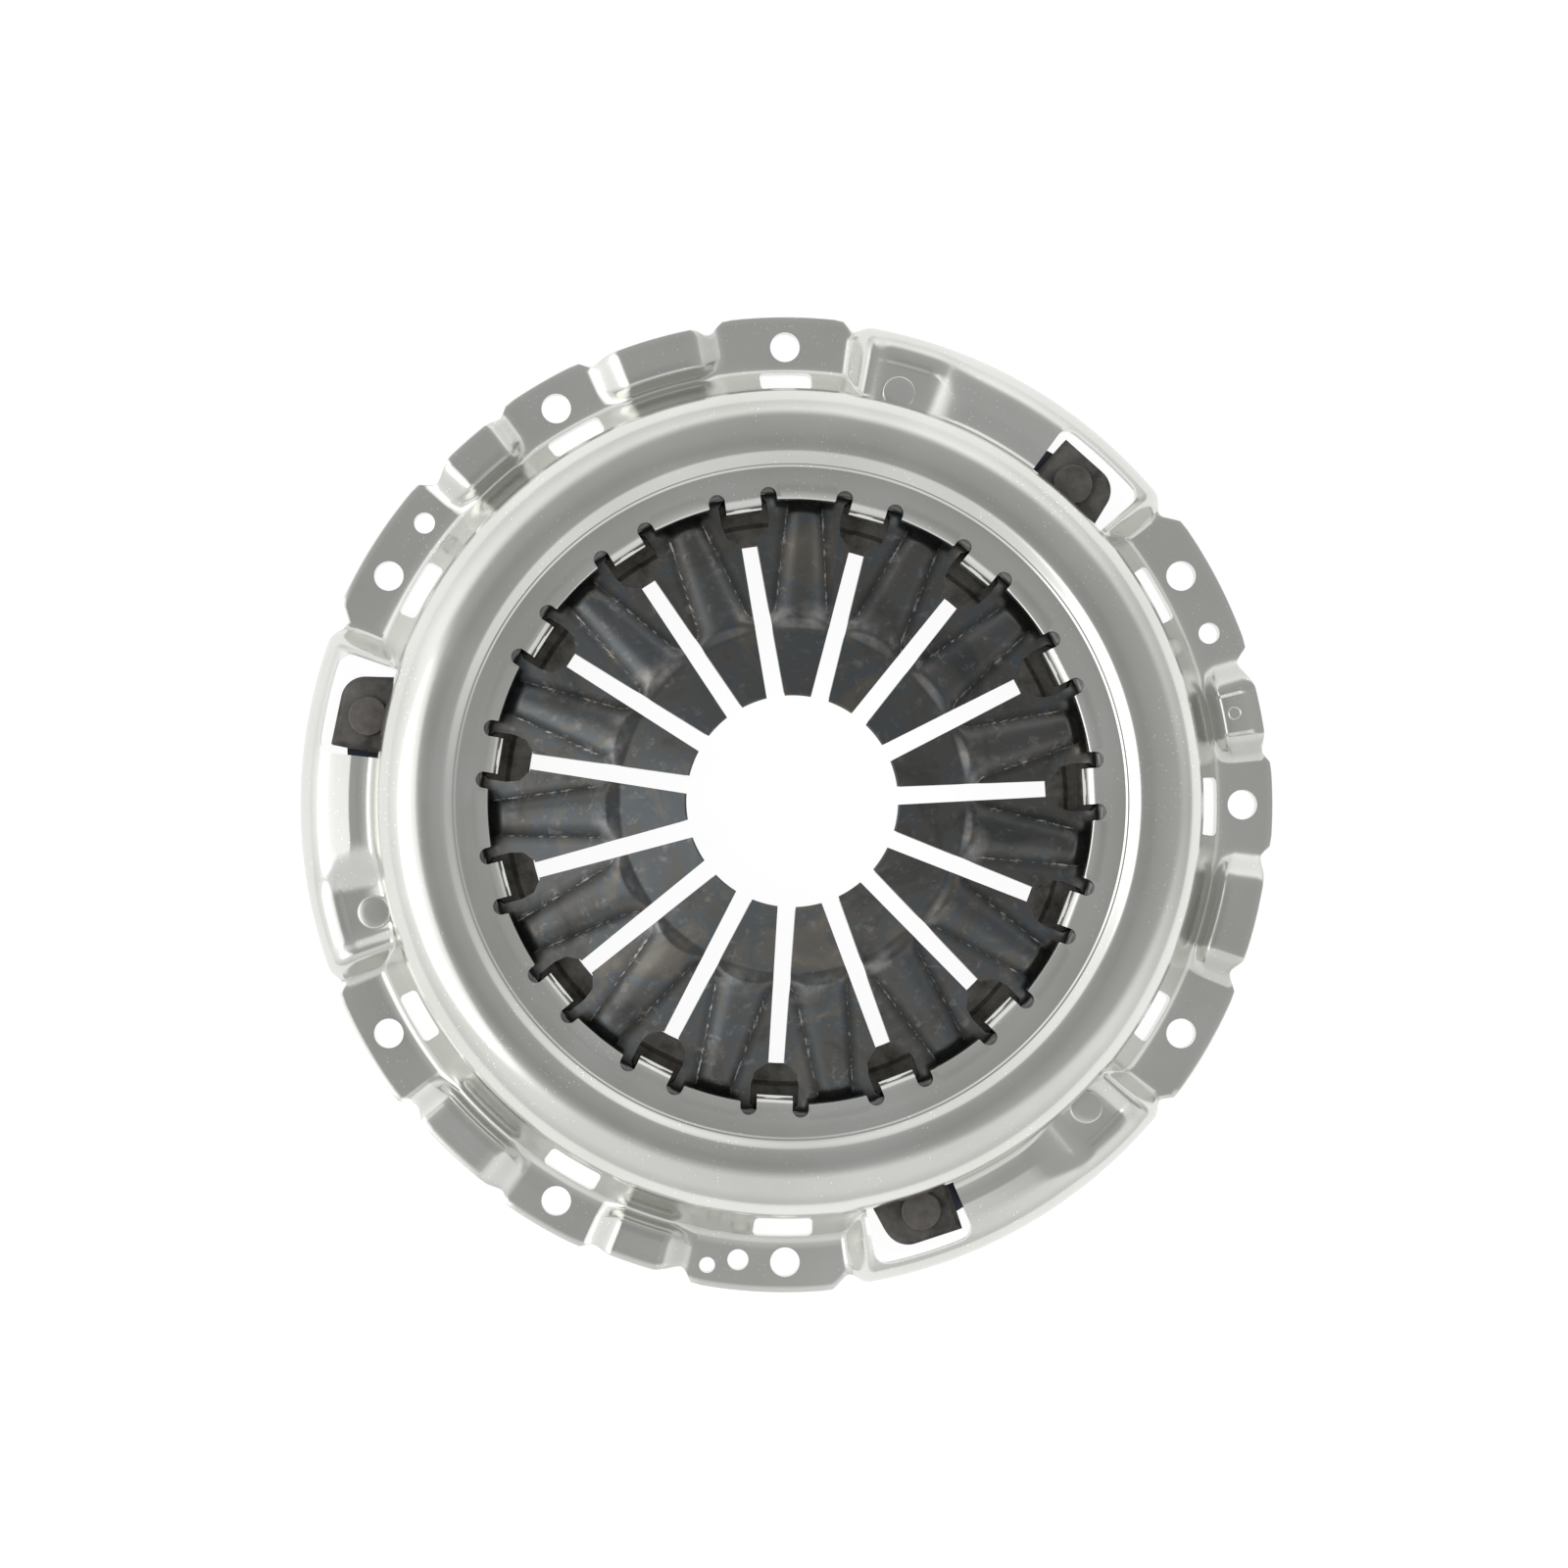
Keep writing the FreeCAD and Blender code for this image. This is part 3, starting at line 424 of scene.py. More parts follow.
def coverPunches():
    deep, high = -cover["cutMargin"], cover["domeTop"] + cover["cutMargin"]
    cuts = []
    for third in thirds:
        for ear in (-30, 0, 30):
            outline = circleOutline(cover["boltHole"], cover["boltRadius"], third + ear)
            cuts.append(prism(outline, deep, high))
        for ear, start, end in cover["slots"]:
            span = (third + ear + start, third + ear + end)
            outline = ringOutline(*cover["slotRadii"], *span, cover["slotCorner"])
            cuts.append(prism(outline, deep, cover["slotTop"]))
        span = [third + angle for angle in cover["windowAngles"]]
        outline = ringOutline(*cover["windowRadii"], *span, cover["windowCorner"], 8)
        cuts.append(prism(outline, deep, cover["windowTop"]))
        outline = circleOutline(cover["rivetHole"], cover["rivetRadius"], third + cover["rivetAngle"])
        cuts.append(prism(outline, deep, high))
    for angle in cover["dowelAngles"]:
        outline = circleOutline(cover["dowelHole"], cover["boltRadius"], angle, 40)
        cuts.append(prism(outline, deep, high))
    outline = circleOutline(cover["gaugeHole"], cover["gaugeRadius"], cover["gaugeAngle"], 32)
    cuts.append(prism(outline, deep, high))
    for angle in tabAngles():
        cuts.append(prism(turnOutline(gapOutline(), angle), cover["gapFoot"], high))
    mark = cover["punchMark"]
    top = cover["bridgeTop"] + cover["raisedPad"]["height"]
    place = (*circleOutline(0, mark["radius"], mark["angle"], 1)[0], top)
    cuts.append(torusMesh(mark["diameter"] / 2, mark["wire"], place, 40, 8))
    return cuts


# A torus: a small circle of the wire swung round the axis.
def torusMesh(radius, wire, centre, around=160, section=14):
    turn = np.linspace(0, 2 * np.pi, around, endpoint=False)[:, None]
    ring = np.linspace(0, 2 * np.pi, section, endpoint=False)[None, :]
    reach = radius + wire * np.cos(ring)
    height = wire * np.sin(ring) + 0 * turn
    points = np.stack([reach * np.cos(turn), reach * np.sin(turn), height], axis=-1)
    return points.reshape(-1, 3) + np.array(centre), gridQuads(around, section, True, True).tolist()


def makeCover():
    piece = coverShell()
    combine(piece, joinMeshes("cover_cuts", coverPunches()), "DIFFERENCE")
    combine(piece, joinMeshes("cover_tabs", tabMeshes()), "UNION")
    closeMesh(piece)
    shadeSmooth(piece, 30)
    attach(piece, "cover")
    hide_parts("cover")
    return piece


# Diaphragm spring
spring = {
    "sheet": 2.5,
    "slope": 14.3,
    "fulcrum": (88.0, 23.364),
    "edge": 108.0,
    "tip": 29.15,
    "tipChamfer": 0.5,
    "slotAtThroat": 4.4,
    "slotAtTip": 5.0,
    "throat": [(73.1, 2.7), (75.8, 5.8), (79.5, 6.7), (84.8, 6.7), (86.8, 4.7)],   # radius, half width
    "ribRoot": 83.0,
    "ribEnd": 51.5,
    "ribHalfWidth": (4.9, 7.3),
    "ribHeight": 2.0,
    "ribStep": (47.4, 51.6),
    "ribPower": 2.4,
    "foldBead": (0.12, 0.9),      # height and width of the bead along a fold
    "columns": 39,
    "keepWhenLifted": 0.283,
}


# Half width of the opening between two fingers at a radius.
def openingHalf(radius):
    places, halves = zip(*spring["throat"])
    share = (radius - spring["tip"]) / (places[0] - spring["tip"])
    slot = (spring["slotAtTip"] * (1 - share) + spring["slotAtThroat"] * share) / 2
    throat = np.interp(radius, places, halves)
    return np.where(radius < places[0], slot, np.where(radius <= places[-1], throat, 0))


# Half width of the pressed channel: it widens inwards and curves out to the finger's sides.
def ribHalf(radius):
    root, end = spring["ribHalfWidth"]
    share = (spring["ribRoot"] - radius) / (spring["ribRoot"] - spring["ribEnd"])
    flare = np.clip(spring["ribEnd"] + 3 - radius, 0, None)
    return root + (end - root) * share + 0.13 * flare ** 2


# Each finger is a grid of radius and share of its width. The disc is a cone; the channel lifts
# the finger's middle in an arch of 1 - x to a power that meets the sides in a fold, and drops in
# a short step at its inner end. The distance from the fold is kept for the material.
def springShell():
    start, end = spring["throat"][0][0], spring["throat"][-1][0]
    tip, chamfer = spring["tip"], spring["tipChamfer"]
    knots = [place for place, half in spring["throat"]]
    bands = [
        (tip + chamfer, 46, 14), (46.5, 54, 16), (55, start - 0.02, 20), (start + 0.02, knots[1], 5),
        (knots[1] + 0.9, knots[2], 4), (knots[2] + 0.9, knots[3], 6), (knots[3] + 0.5, end - 0.02, 4),
        (end + 0.02, spring["edge"], 9),
    ]
    radii = np.concatenate([[tip]] + [np.linspace(*band) for band in bands])[:, None]
    share = np.linspace(-1, 1, spring["columns"])[None, :]
    half = radians(180 / tabs["count"]) - np.arcsin(openingHalf(radii) / radii)
    aside = half * share
    across = np.abs(radii * np.sin(aside))

    pivotRadius, pivotHeight = spring["fulcrum"]
    slope = radians(spring["slope"])
    pivotTop = pivotHeight + spring["sheet"] / 2 / cos(slope)
    cone = pivotTop + (pivotRadius - radii) * tan(slope) + 0 * across
    width = ribHalf(radii)
    low, high = spring["ribStep"]
    strength = smoothStep((radii - low) / (high - low))
    strength = strength * smoothStep((spring["ribRoot"] + 0.8 - radii) / 3.2)
    arch = 1 - np.clip(across / width, 0, 1) ** spring["ribPower"]
    rise, spread = spring["foldBead"]
    bead = rise * np.exp(-((across - width) / spread) ** 2)
    height = cone + strength * (spring["ribHeight"] * arch + bead)
    height -= np.clip(tip + chamfer - radii, 0, None)

    parts = []
    faces = gridQuads(radii.shape[0], share.shape[1]).tolist()
    for angle in tabAngles():
        turn = radians(angle + 180 / tabs["count"]) + aside
        points = np.stack([radii * np.cos(turn), radii * np.sin(turn), height], axis=-1)
        parts.append((points.reshape(-1, 3), faces))
    return joinMeshes("diaphragm", parts)


# The distance of each point from the folds of its finger's channel, faded out past the channel, as an
# attribute that the material paints shade beside the folds and a highlight along them with.
def markFolds(piece):
    points = np.empty(len(piece.data.vertices) * 3)
    piece.data.vertices.foreach_get("co", points)
    x, y = points.reshape(-1, 3).T[:2] / millimetre
    pitch = radians(360 / tabs["count"])
    turn = (np.arctan2(y, x) - radians(tabs["angle"])) % pitch - pitch / 2
    radius = np.hypot(x, y)
    distance = np.abs(np.abs(radius * np.sin(turn)) - ribHalf(radius))
    distance += np.clip(spring["ribStep"][0] - radius, 0, None)
    distance += np.clip(radius - spring["ribRoot"], 0, None)
    attribute = piece.data.attributes.new("foldDistance", "FLOAT", "POINT")
    attribute.data.foreach_set("value", distance)


def makeSpring():
    piece = springShell()
    wall = piece.modifiers.new("sheet", "SOLIDIFY")
    wall.thickness = spring["sheet"] * millimetre
    wall.offset = -1 if piece.data.polygons[0].normal.z > 0 else 1
    wall.use_even_offset = True
    applyModifiers(piece)
    closeMesh(piece, 0.0001)
    markFolds(piece)
    shadeSmooth(piece, 38)
    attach(piece, "cover")
    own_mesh(piece)
    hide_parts("diaphragm_spring")
    return piece


# Fulcrum rings, drive straps and rivets
rings = {"radius": 88.0, "wire": 1.6, "upper": 26.35, "lower": 20.37}
straps = {
    "middle": 61.45, "offset": 118.27, "reach": 27.85, "overhang": 7.2, "width": 14.0, "leaf": 0.7,
    "leaves": 3, "high": 6.2, "low": 4.8, "bend": 14.0, "endRadius": 6.3, "hole": 6.4,
}
rivets = {
    "radius": 121.5, "shank": 3.1,
    "cover": {"angle": 74.7, "seat": 10.2, "head": 4.75, "rise": 1.3, "under": 4.1},
    "plate": {"angle": 48.2, "seat": 13.4, "head": 5.65, "rise": 1.9, "under": 2.7},
    "closing": 5.0, "closingRise": 1.7, "edge": 0.55, "crown": 0.05, "around": 48,
}


def makeRing(name, height):
    torus = torusMesh(rings["radius"], rings["wire"], (0, 0, height))
    piece = newObject(name.replace("ring", "wire"), *torus)
    closeMesh(piece)
    shadeSmooth(piece)
    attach(piece, "cover")
    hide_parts(name)
    return piece


# A leaf is a grid of length and share of its width, narrowed to a round corner at each end;
# its height eases from the cover's pad down to the plate's lug.
def makeLeaf(pack, layer):
    end = straps["reach"] + straps["overhang"]
    corner = straps["endRadius"]
    turn = np.linspace(0, 1, 12)
    tail = end - corner + corner * np.sin(turn * np.pi / 2)
    level = np.linspace(-end + corner, end - corner, 44)[1:-1]
    along = np.concatenate([-tail[::-1], level, tail])[:, None]
    past = np.clip(np.abs(along) - end + corner, 0, corner)
    half = straps["width"] / 2 - corner + np.sqrt(np.maximum(corner ** 2 - past ** 2, 0.0004))
    across = half * np.linspace(-1, 1, 9)[None, :]
    eased = smoothStep((along + straps["bend"]) / (2 * straps["bend"]))
    top = straps["low"] + (straps["high"] - straps["low"]) * eased - straps["leaf"] * layer + 0 * across
    turn = radians(straps["middle"] + thirds[pack])
    x, y = straps["offset"] + across, along + 0 * across
    flat = np.stack([x * cos(turn) - y * sin(turn), x * sin(turn) + y * cos(turn)], axis=-1)
    rows, columns = top.shape
    count = rows * columns
    upper = np.concatenate([flat, top[..., None]], axis=-1).reshape(-1, 3)
    lower = upper - (0, 0, straps["leaf"])
    faces = gridQuads(rows, columns)
    rim = np.concatenate([
        np.arange(columns), np.arange(1, rows) * columns + columns - 1,
        (rows - 1) * columns + np.arange(columns - 2, -1, -1), np.arange(rows - 2, 0, -1) * columns,
    ])
    following = np.roll(rim, -1)
    walls = np.column_stack([rim, following, following + count, rim + count])
    name = f"strap_{pack + 1}_leaf_{layer + 1}"
    quads = np.concatenate([faces, faces[:, ::-1] + count, walls]).tolist()
    points = np.concatenate([upper, lower])
    piece = closeMesh(newObject(name.replace("leaf", "spring_leaf"), points, quads))
    ends = {"cover": rivets["cover"]["angle"], "plate": rivets["plate"]["angle"]}
    holes = [
        prism(circleOutline(straps["hole"], rivets["radius"], thirds[pack] + angle, 36), -2, 12)
        for angle in ends.values()
    ]
    combine(piece, joinMeshes("strap_holes", holes), "DIFFERENCE")
    shadeSmooth(piece)
    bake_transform(piece)
    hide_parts(name)
    return piece


# A rivet is its profile turned round its own axis.
def makeRivet(kind, pack):
    shape = rivets[kind]
    shank, head, seat, under = rivets["shank"], shape["head"], shape["seat"], shape["under"]
    top, foot, closing = seat + shape["rise"], under - rivets["closingRise"], rivets["closing"]
    ease = np.linspace(0, np.pi / 2, 6)
    edge, crown, around = rivets["edge"], rivets["crown"], rivets["around"]
    profile = np.concatenate([
        [(0, top + crown)], [(head * 0.5, top + 0.8 * crown)],
        np.column_stack([head - edge + edge * np.sin(ease), top - edge + edge * np.cos(ease)]),
        [(head, seat), (shank, seat), (shank, under), (closing, under)],
        np.column_stack([closing - edge + edge * np.cos(ease), foot + edge - edge * np.sin(ease)]),
        [(0, foot)],
    ])
    turn = np.linspace(0, 2 * np.pi, around, endpoint=False)[:, None]
    centre = circleOutline(0, rivets["radius"], shape["angle"] + thirds[pack], 1)[0]
    radius, height = profile[:, 0][None, :], profile[:, 1][None, :]
    points = np.stack([centre[0] + radius * np.cos(turn), centre[1] + radius * np.sin(turn),
                       height + 0 * turn], axis=-1)
    name = f"{kind}_rivet_{pack + 1}"
    quads = gridQuads(around, profile.shape[0], True, False)
    piece = closeMesh(newObject(name.replace("rivet", "rivet_turned"), points.reshape(-1, 3), quads))
    shadeSmooth(piece, 40)
    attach(piece, "cover" if kind == "cover" else "pressure_plate")
    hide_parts(name)
    return piece


# Material helpers
def newMaterial(name):
    material = bpy.data.materials.new(name)
    material.use_nodes = True
    tree = material.node_tree
    place = tree.nodes.new("ShaderNodeTexCoord").outputs["Object"]
    return material, tree, tree.nodes["Principled BSDF"], place


def addNode(tree, kind, inputs=(), **settings):
    node = tree.nodes.new("ShaderNode" + kind)
    for key, value in settings.items():
        setattr(node, key, value)
    for socket, value in dict(inputs).items():
        if isinstance(value, bpy.types.NodeSocket):
            tree.links.new(value, node.inputs[socket])
        else:
            node.inputs[socket].default_value = value
    return node


def addNoise(tree, place, scale, detail=4.0, roughness=0.55, distortion=0.0):
    inputs = {"Vector": place, "Scale": scale, "Detail": detail}
    inputs.update({"Roughness": roughness, "Distortion": distortion})
    return addNode(tree, "TexNoise", inputs).outputs["Fac"]


def addRamp(tree, factor, stops):
    node = addNode(tree, "ValToRGB", {"Fac": factor})
    elements = node.color_ramp.elements
    while len(elements) < len(stops):
        elements.new(0.5)
    for element, (position, colour) in zip(elements, stops):
        element.position = position
        element.color = (*colour, 1)
    return node.outputs["Color"]


def addRange(tree, value, lowIn, highIn, lowOut, highOut):
    inputs = {"Value": value, "From Min": lowIn, "From Max": highIn}
    inputs.update({"To Min": lowOut, "To Max": highOut})
    return addNode(tree, "MapRange", inputs, clamp=True).outputs["Result"]


def addMath(tree, operation, first, second):
    return addNode(tree, "Math", {0: first, 1: second}, operation=operation).outputs[0]


def addMix(tree, factor, first, second, blend="MIX"):
    node = addNode(tree, "Mix", data_type="RGBA", blend_type=blend)
    for socket, value in ((node.inputs[0], factor), (node.inputs[6], first), (node.inputs[7], second)):
        if isinstance(value, bpy.types.NodeSocket):
            tree.links.new(value, socket)
        else:
            socket.default_value = value if isinstance(value, (int, float)) else (*value, 1)
    return node.outputs[2]


def addBump(tree, shader, height, strength, distance):
    inputs = {"Height": height, "Strength": strength, "Distance": distance * millimetre}
    bump = addNode(tree, "Bump", inputs)
    tree.links.new(bump.outputs["Normal"], shader.inputs["Normal"])
    return bump


# Radius and angle of a point round the part's axis, for drawn and turned marks.
def addPolar(tree, place, radiusScale, angleScale):
    parts = addNode(tree, "SeparateXYZ", {"Vector": place})
    x, y = parts.outputs["X"], parts.outputs["Y"]
    square = addMath(tree, "ADD", addMath(tree, "MULTIPLY", x, x), addMath(tree, "MULTIPLY", y, y))
    radius = addMath(tree, "MULTIPLY", addMath(tree, "SQRT", square, 0.0), radiusScale)
    angle = addMath(tree, "MULTIPLY", addMath(tree, "ARCTAN2", y, x), angleScale)
    return addNode(tree, "CombineXYZ", {"X": radius, "Y": angle}).outputs["Vector"]


# Distance from the part's axis in millimetres.
def addRadius(tree, place):
    return addNode(tree, "SeparateXYZ", {"Vector": addPolar(tree, place, 1000, 1)}).outputs["X"]


# Bright drawn steel: soft cloudy tone, faint concentric drawing marks, tiny bright specks.
def coverSteel():
    material, tree, shader, place = newMaterial("cover_bright_steel")
    cloud = addNoise(tree, place, 28, 3, 0.5)
    tone = addRamp(tree, cloud, [(0.3, (0.67, 0.67, 0.635)), (0.7, (0.74, 0.745, 0.715))])
    drawn = addNoise(tree, addPolar(tree, place, 700, 3), 1, 3, 0.6)
    grain = addNoise(tree, place, 1500, 2, 0.6)
    specks = addNode(tree, "TexVoronoi", {"Vector": place, "Scale": 640, "Randomness": 1.0})
    patches = addNoise(tree, place, 45, 4, 0.65)
    limit = addRange(tree, patches, 0.42, 0.72, 0.05, 0.2)
    spot = addMath(tree, "LESS_THAN", specks.outputs["Distance"], limit)
    colour = addMix(tree, addMath(tree, "MULTIPLY", spot, 0.85), tone, (1.0, 1.0, 0.99))
    tree.links.new(colour, shader.inputs["Base Color"])
    marks = addRange(tree, drawn, 0.3, 0.7, 0.14, 0.17)
    rough = addMath(tree, "ADD", marks, addRange(tree, cloud, 0.3, 0.7, 0.0, 0.04))
    tree.links.new(rough, shader.inputs["Roughness"])
    shader.inputs["Metallic"].default_value = 1.0
    lines = addMath(tree, "MULTIPLY", drawn, 0.2)
    height = addMath(tree, "ADD", lines, addMath(tree, "MULTIPLY", grain, 0.3))
    addBump(tree, shader, height, 0.1, 0.02)
    return material


# Tempered spring steel: dark grey-brown with faint blue clouds and random rubbed wear, with painted
# shade beside the channel's folds, a painted highlight along each fold and painted highlight patches
# over the bend at the channel's inner end.
def springSteel():
    material, tree, shader, place = newMaterial("diaphragm_tempered_steel")
    cloud = addNoise(tree, place, 42, 4, 0.6, 0.8)
    tint = addRamp(tree, cloud, [
        (0.32, (0.06, 0.064, 0.066)), (0.45, (0.10, 0.097, 0.09)), (0.54, (0.088, 0.1, 0.108)),
        (0.62, (0.125, 0.118, 0.105)), (0.72, (0.16, 0.148, 0.13)),
    ])
    scuff = addNoise(tree, place, 300, 5, 0.7, 0.3)
    rubbed = addRange(tree, scuff, 0.56, 0.74, 0.0, 0.35)
    fold = addNode(tree, "Attribute", attribute_name="foldDistance").outputs["Fac"]
    # Painted shade: the colour darkens towards the folds of the channel.
    shade = addRange(tree, fold, 0.2, 2.4, 0.45, 1.0)
    tint = addMix(tree, 1.0, tint, shade, "MULTIPLY")
    # Painted highlight: a thin bright line along each fold, broken up by the scuff noise.
    ragged = addMath(tree, "ADD", fold, addRange(tree, scuff, 0.35, 0.62, 0.32, -0.05))
    line = addRange(tree, ragged, 0.08, 0.34, 0.75, 0.0)
    # Painted highlight: lighter patches in a band round the bend at the channel's inner end.
    fromBend = addMath(tree, "SUBTRACT", addRadius(tree, place), spring["ribEnd"])
    bend = addRange(tree, addMath(tree, "ABSOLUTE", fromBend, 0.0), 1.0, 5.0, 1.0, 0.0)
    patches = addRange(tree, addNoise(tree, place, 95, 4, 0.6), 0.5, 0.68, 0.0, 0.55)
    paintedBendHighlight = addMath(tree, "MULTIPLY", bend, patches)
    # Random rubbed wear and the painted highlights along the folds and over the bend, mixed into a
    # lighter colour.
    wearAndPaintedHighlights = addMath(tree, "MAXIMUM", addMath(tree, "MAXIMUM", rubbed, line), paintedBendHighlight)
    colour = addMix(tree, wearAndPaintedHighlights, tint, (0.36, 0.355, 0.34))
    tree.links.new(colour, shader.inputs["Base Color"])
    shader.inputs["Metallic"].default_value = 0.85
    tree.links.new(addRange(tree, cloud, 0.3, 0.7, 0.34, 0.25), shader.inputs["Roughness"])
    addBump(tree, shader, scuff, 0.3, 0.03)
    return material


# Cast iron: brown-grey and pitted, with a ground face underneath.
def castIron():
    material, tree, shader, place = newMaterial("plate_cast_iron")
    cloud = addNoise(tree, place, 120, 5, 0.65)
    tone = addRamp(tree, cloud, [
        (0.3, (0.1, 0.092, 0.08)), (0.5, (0.34, 0.32, 0.29)), (0.7, (0.5, 0.47, 0.43)),
    ])
    onLug = addRange(tree, addRadius(tree, place), 112, 117, 1.0, 0.3)      # the lugs are darker
    tone = addMix(tree, 1.0, tone, onLug, "MULTIPLY")
    pits = addNode(tree, "TexVoronoi", {"Vector": place, "Scale": 700, "Randomness": 1.0})
    height = addNode(tree, "SeparateXYZ", {"Vector": place}).outputs["Z"]
    ground = addMath(tree, "LESS_THAN", height, 0.00202)
    marks = addNoise(tree, addPolar(tree, place, 2200, 2), 1, 2, 0.5)
    face = addRamp(tree, marks, [(0.3, (0.26, 0.26, 0.255)), (0.7, (0.38, 0.375, 0.37))])
    tree.links.new(addMix(tree, ground, tone, face), shader.inputs["Base Color"])
    shader.inputs["Metallic"].default_value = 0.2
    tree.links.new(addRange(tree, ground, 0, 1, 0.62, 0.36), shader.inputs["Roughness"])
    pitted = addRange(tree, pits.outputs["Distance"], 0.0, 0.3, 0.0, 0.5)
    rough = addMath(tree, "ADD", addMath(tree, "MULTIPLY", cloud, 0.7), pitted)
    addBump(tree, shader, rough, 0.7, 0.12)
    return material


def strapSteel():
    material, tree, shader, place = newMaterial("strap_blued_steel")
    cloud = addNoise(tree, place, 90, 3, 0.5)
    tone = addRamp(tree, cloud, [(0.3, (0.035, 0.05, 0.075)), (0.7, (0.08, 0.095, 0.12))])
    tree.links.new(tone, shader.inputs["Base Color"])
    shader.inputs["Metallic"].default_value = 0.9
    tree.links.new(addRange(tree, cloud, 0.3, 0.7, 0.3, 0.42), shader.inputs["Roughness"])
    addBump(tree, shader, addNoise(tree, place, 900, 3), 0.15, 0.02)
    return material


def rivetSteel():
    material, tree, shader, place = newMaterial("rivet_plain_steel")
    cloud = addNoise(tree, place, 260, 4, 0.6)
    tone = addRamp(tree, cloud, [(0.3, (0.10, 0.092, 0.085)), (0.7, (0.17, 0.16, 0.15))])
    tree.links.new(tone, shader.inputs["Base Color"])
    shader.inputs["Metallic"].default_value = 0.7
    tree.links.new(addRange(tree, cloud, 0.3, 0.7, 0.45, 0.6), shader.inputs["Roughness"])
    addBump(tree, shader, cloud, 0.4, 0.05)
    return material


def ringSteel():
    material, tree, shader, place = newMaterial("ring_drawn_wire")
    cloud = addNoise(tree, place, 200, 3, 0.5)
    tone = addRamp(tree, cloud, [(0.3, (0.13, 0.13, 0.13)), (0.7, (0.22, 0.22, 0.215))])
    tree.links.new(tone, shader.inputs["Base Color"])
    shader.inputs["Metallic"].default_value = 0.95
    tree.links.new(addRange(tree, cloud, 0.3, 0.7, 0.3, 0.4), shader.inputs["Roughness"])
    return material


def dress(piece, material):
    piece.data.materials.clear()
    piece.data.materials.append(material)


materials = {
    "cover": coverSteel(), "spring": springSteel(), "iron": castIron(),
    "strap": strapSteel(), "rivet": rivetSteel(), "ring": ringSteel(),
}
dress(makeCover(), materials["cover"])
print("cover made")
dress(makeSpring(), materials["spring"])
print("diaphragm made")
for ringPlace in ("upper", "lower"):
    dress(makeRing(ringPlace + "_fulcrum_ring", rings[ringPlace]), materials["ring"])
for packIndex in range(3):
    for layerIndex in range(straps["leaves"]):
        dress(makeLeaf(packIndex, layerIndex), materials["strap"])
    dress(makeRivet("cover", packIndex), materials["cover"])
    dress(makeRivet("plate", packIndex), materials["rivet"])
dress(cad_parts["pressure_plate"], materials["iron"])
print("rings, straps, rivets and plate made")


# Floor, studio light and camera
studio = {
    "floorSize": 12.0,      # metres, as are the places below; the drop is in millimetres
    "floorDrop": 0.2,
    "floorGlow": 0.93,
    "floorColour": 0.22,
    "overhead": [(0, 0.29), (4, 0.34), (9, 0.41), (40, 0.46), (90, 0.46)],
    "overheadEdge": [
        (-180, 32), (-150, 28), (-120, 17), (-90, 14), (-60, 13), (-30, 40), (0, 60),
        (30, 54), (60, 51), (90, 56), (120, 42), (150, 38), (180, 32),
    ],
    "edgeWidth": 14,
    "compass": [
        (-180, 1.22), (-150, 1.04), (-120, 0.9), (-90, 0.78), (-60, 0.87), (-30, 0.97), (0, 0.63),
        (30, 0.85), (60, 1.22), (90, 1.06), (120, 0.95), (150, 1.22), (180, 1.22),
    ],
    "horizon": [(0.0, 0.8), (0.25, 0.88), (0.5, 1.0)],
    "camera": (-0.0480, -0.0233, 0.850),
    "shift": (0.1059, 0.0649),
    "lens": 67.57,
    "softbox": {"place": (-0.9, -0.15, 1.15), "size": 1.2, "power": 3},
}


# Values as a ramp over the range of their places. A ramp holds up to 1, so they are scaled.
def valueRamp(tree, value, stops, scale):
    first, last = stops[0][0], stops[-1][0]
    share = addRange(tree, value, first, last, 0.0, 1.0)
    stops = [((place - first) / (last - first), (amount / scale,) * 3) for place, amount in stops]
    return addMath(tree, "MULTIPLY", addRamp(tree, share, stops), scale)


# The sky: grey overhead out to an edge that lies at another height for each compass direction,
# beyond it a brightness for each direction, dimmer towards the horizon. Angles are in degrees.
def makeWorld():
    world = bpy.data.worlds.new("studio")
    bpy.context.scene.world = world
    world.use_nodes = True
    tree = world.node_tree
    direction = addNode(tree, "TexCoord").outputs["Generated"]
    parts = addNode(tree, "SeparateXYZ", {"Vector": direction})
    turn = addMath(tree, "ARCTAN2", parts.outputs["Y"], parts.outputs["X"])
    bearing = addMath(tree, "DEGREES", turn, 0.0)
    fromTop = addMath(tree, "DEGREES", addMath(tree, "ARCCOSINE", parts.outputs["Z"], 0.0), 0.0)
    overhead = valueRamp(tree, fromTop, studio["overhead"], 2)
    beyond = valueRamp(tree, bearing, studio["compass"], 2)
    edge = valueRamp(tree, bearing, studio["overheadEdge"], 90)
    half = studio["edgeWidth"] / 2
    outside = addRange(tree, addMath(tree, "SUBTRACT", fromTop, edge), -half, half, 0.0, 1.0)
    tone = addMix(tree, outside, overhead, beyond)
    horizon = valueRamp(tree, parts.outputs["Z"], studio["horizon"], 2)
    background = tree.nodes["Background"]
    tree.links.new(addMix(tree, 1.0, tone, horizon, "MULTIPLY"), background.inputs["Color"])


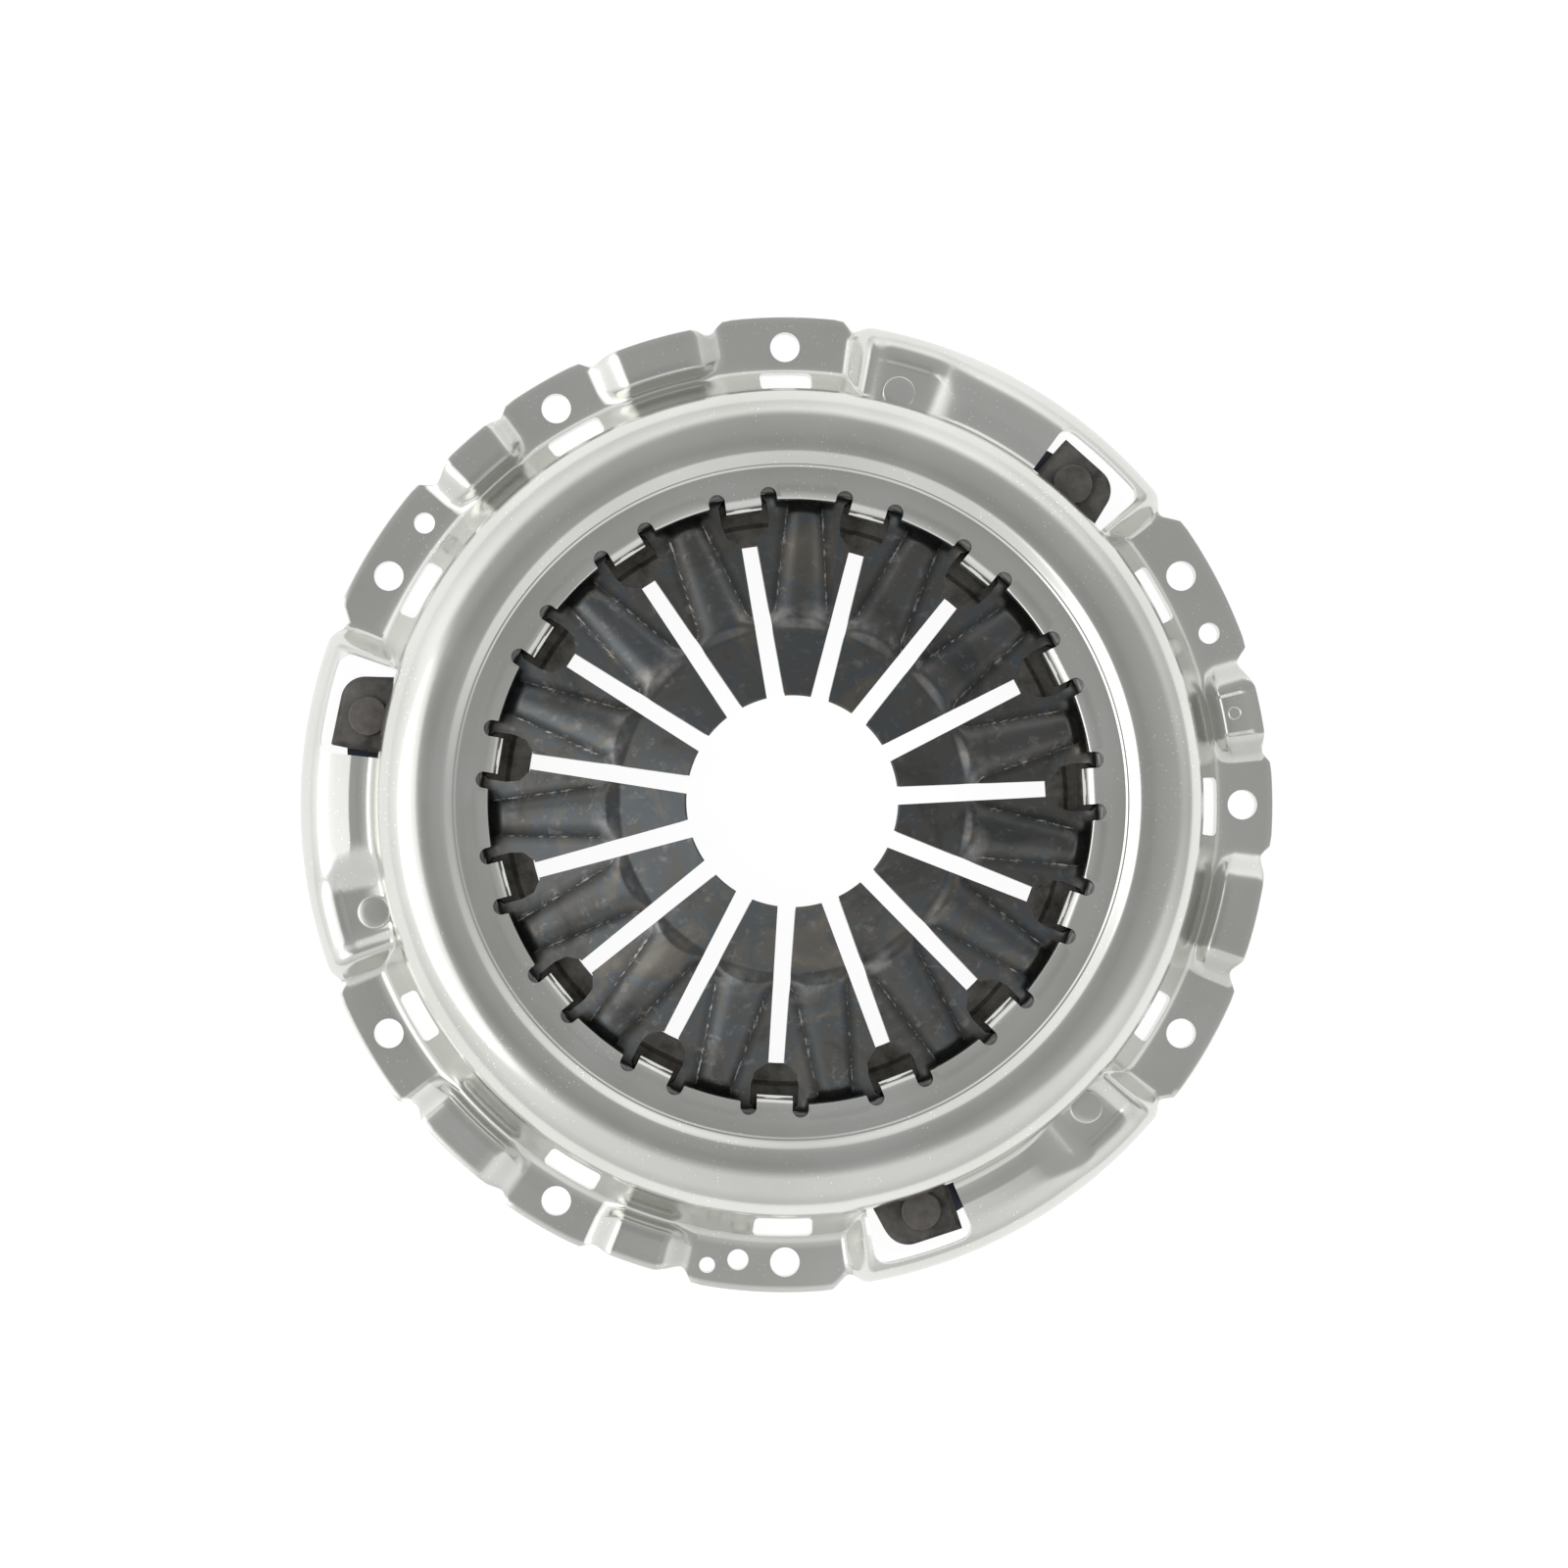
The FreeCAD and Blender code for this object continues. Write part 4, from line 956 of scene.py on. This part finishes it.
# The floor glows for the camera and for reflections, and its matt share keeps the shadow.
def makeFloor():
    half = studio["floorSize"] / 2 / millimetre
    depth = -studio["floorDrop"]
    corners = [(-half, -half, depth), (half, -half, depth), (half, half, depth), (-half, half, depth)]
    floor = newObject("studio_floor", corners, [[0, 1, 2, 3]])
    material = bpy.data.materials.new("studio_floor_white")
    material.use_nodes = True
    tree = material.node_tree
    tree.nodes.remove(tree.nodes["Principled BSDF"])
    path = addNode(tree, "LightPath")
    seen = addMath(tree, "MAXIMUM", path.outputs["Is Camera Ray"], path.outputs["Is Glossy Ray"])
    seen = addMath(tree, "MAXIMUM", seen, path.outputs["Is Transmission Ray"])
    strength = addMath(tree, "MULTIPLY", seen, studio["floorGlow"])
    glow = addNode(tree, "Emission", {"Color": (1, 1, 1, 1), "Strength": strength})
    matt = addNode(tree, "BsdfDiffuse", {"Color": (*(studio["floorColour"],) * 3, 1)})
    total = addNode(tree, "AddShader")
    tree.links.new(glow.outputs[0], total.inputs[0])
    tree.links.new(matt.outputs[0], total.inputs[1])
    tree.links.new(total.outputs[0], tree.nodes["Material Output"].inputs["Surface"])
    dress(floor, material)


def addLamp(name, place, size, power):
    light = bpy.data.lights.new(name, "AREA")
    light.shape = "DISK"
    light.size = size
    light.energy = power
    lamp = bpy.data.objects.new(name, light)
    lamp.location = place
    lamp.rotation_euler = (-Vector(place)).to_track_quat("-Z", "Y").to_euler()
    bpy.context.scene.collection.objects.link(lamp)


# The camera looks straight down, and its shift keeps the part in the middle of the frame.
def makeCamera():
    camera = bpy.data.objects.new("photo_camera", bpy.data.cameras.new("photo_camera"))
    bpy.context.scene.collection.objects.link(camera)
    camera.location = studio["camera"]
    camera.data.shift_x, camera.data.shift_y = studio["shift"]
    camera.data.lens = studio["lens"]
    camera.data.sensor_width = 36
    camera.data.clip_end = 50
    bpy.context.scene.camera = camera


makeWorld()
makeFloor()
addLamp("left_softbox", **studio["softbox"])
makeCamera()
bpy.context.scene.view_settings.view_transform = "Standard"
print("studio made")
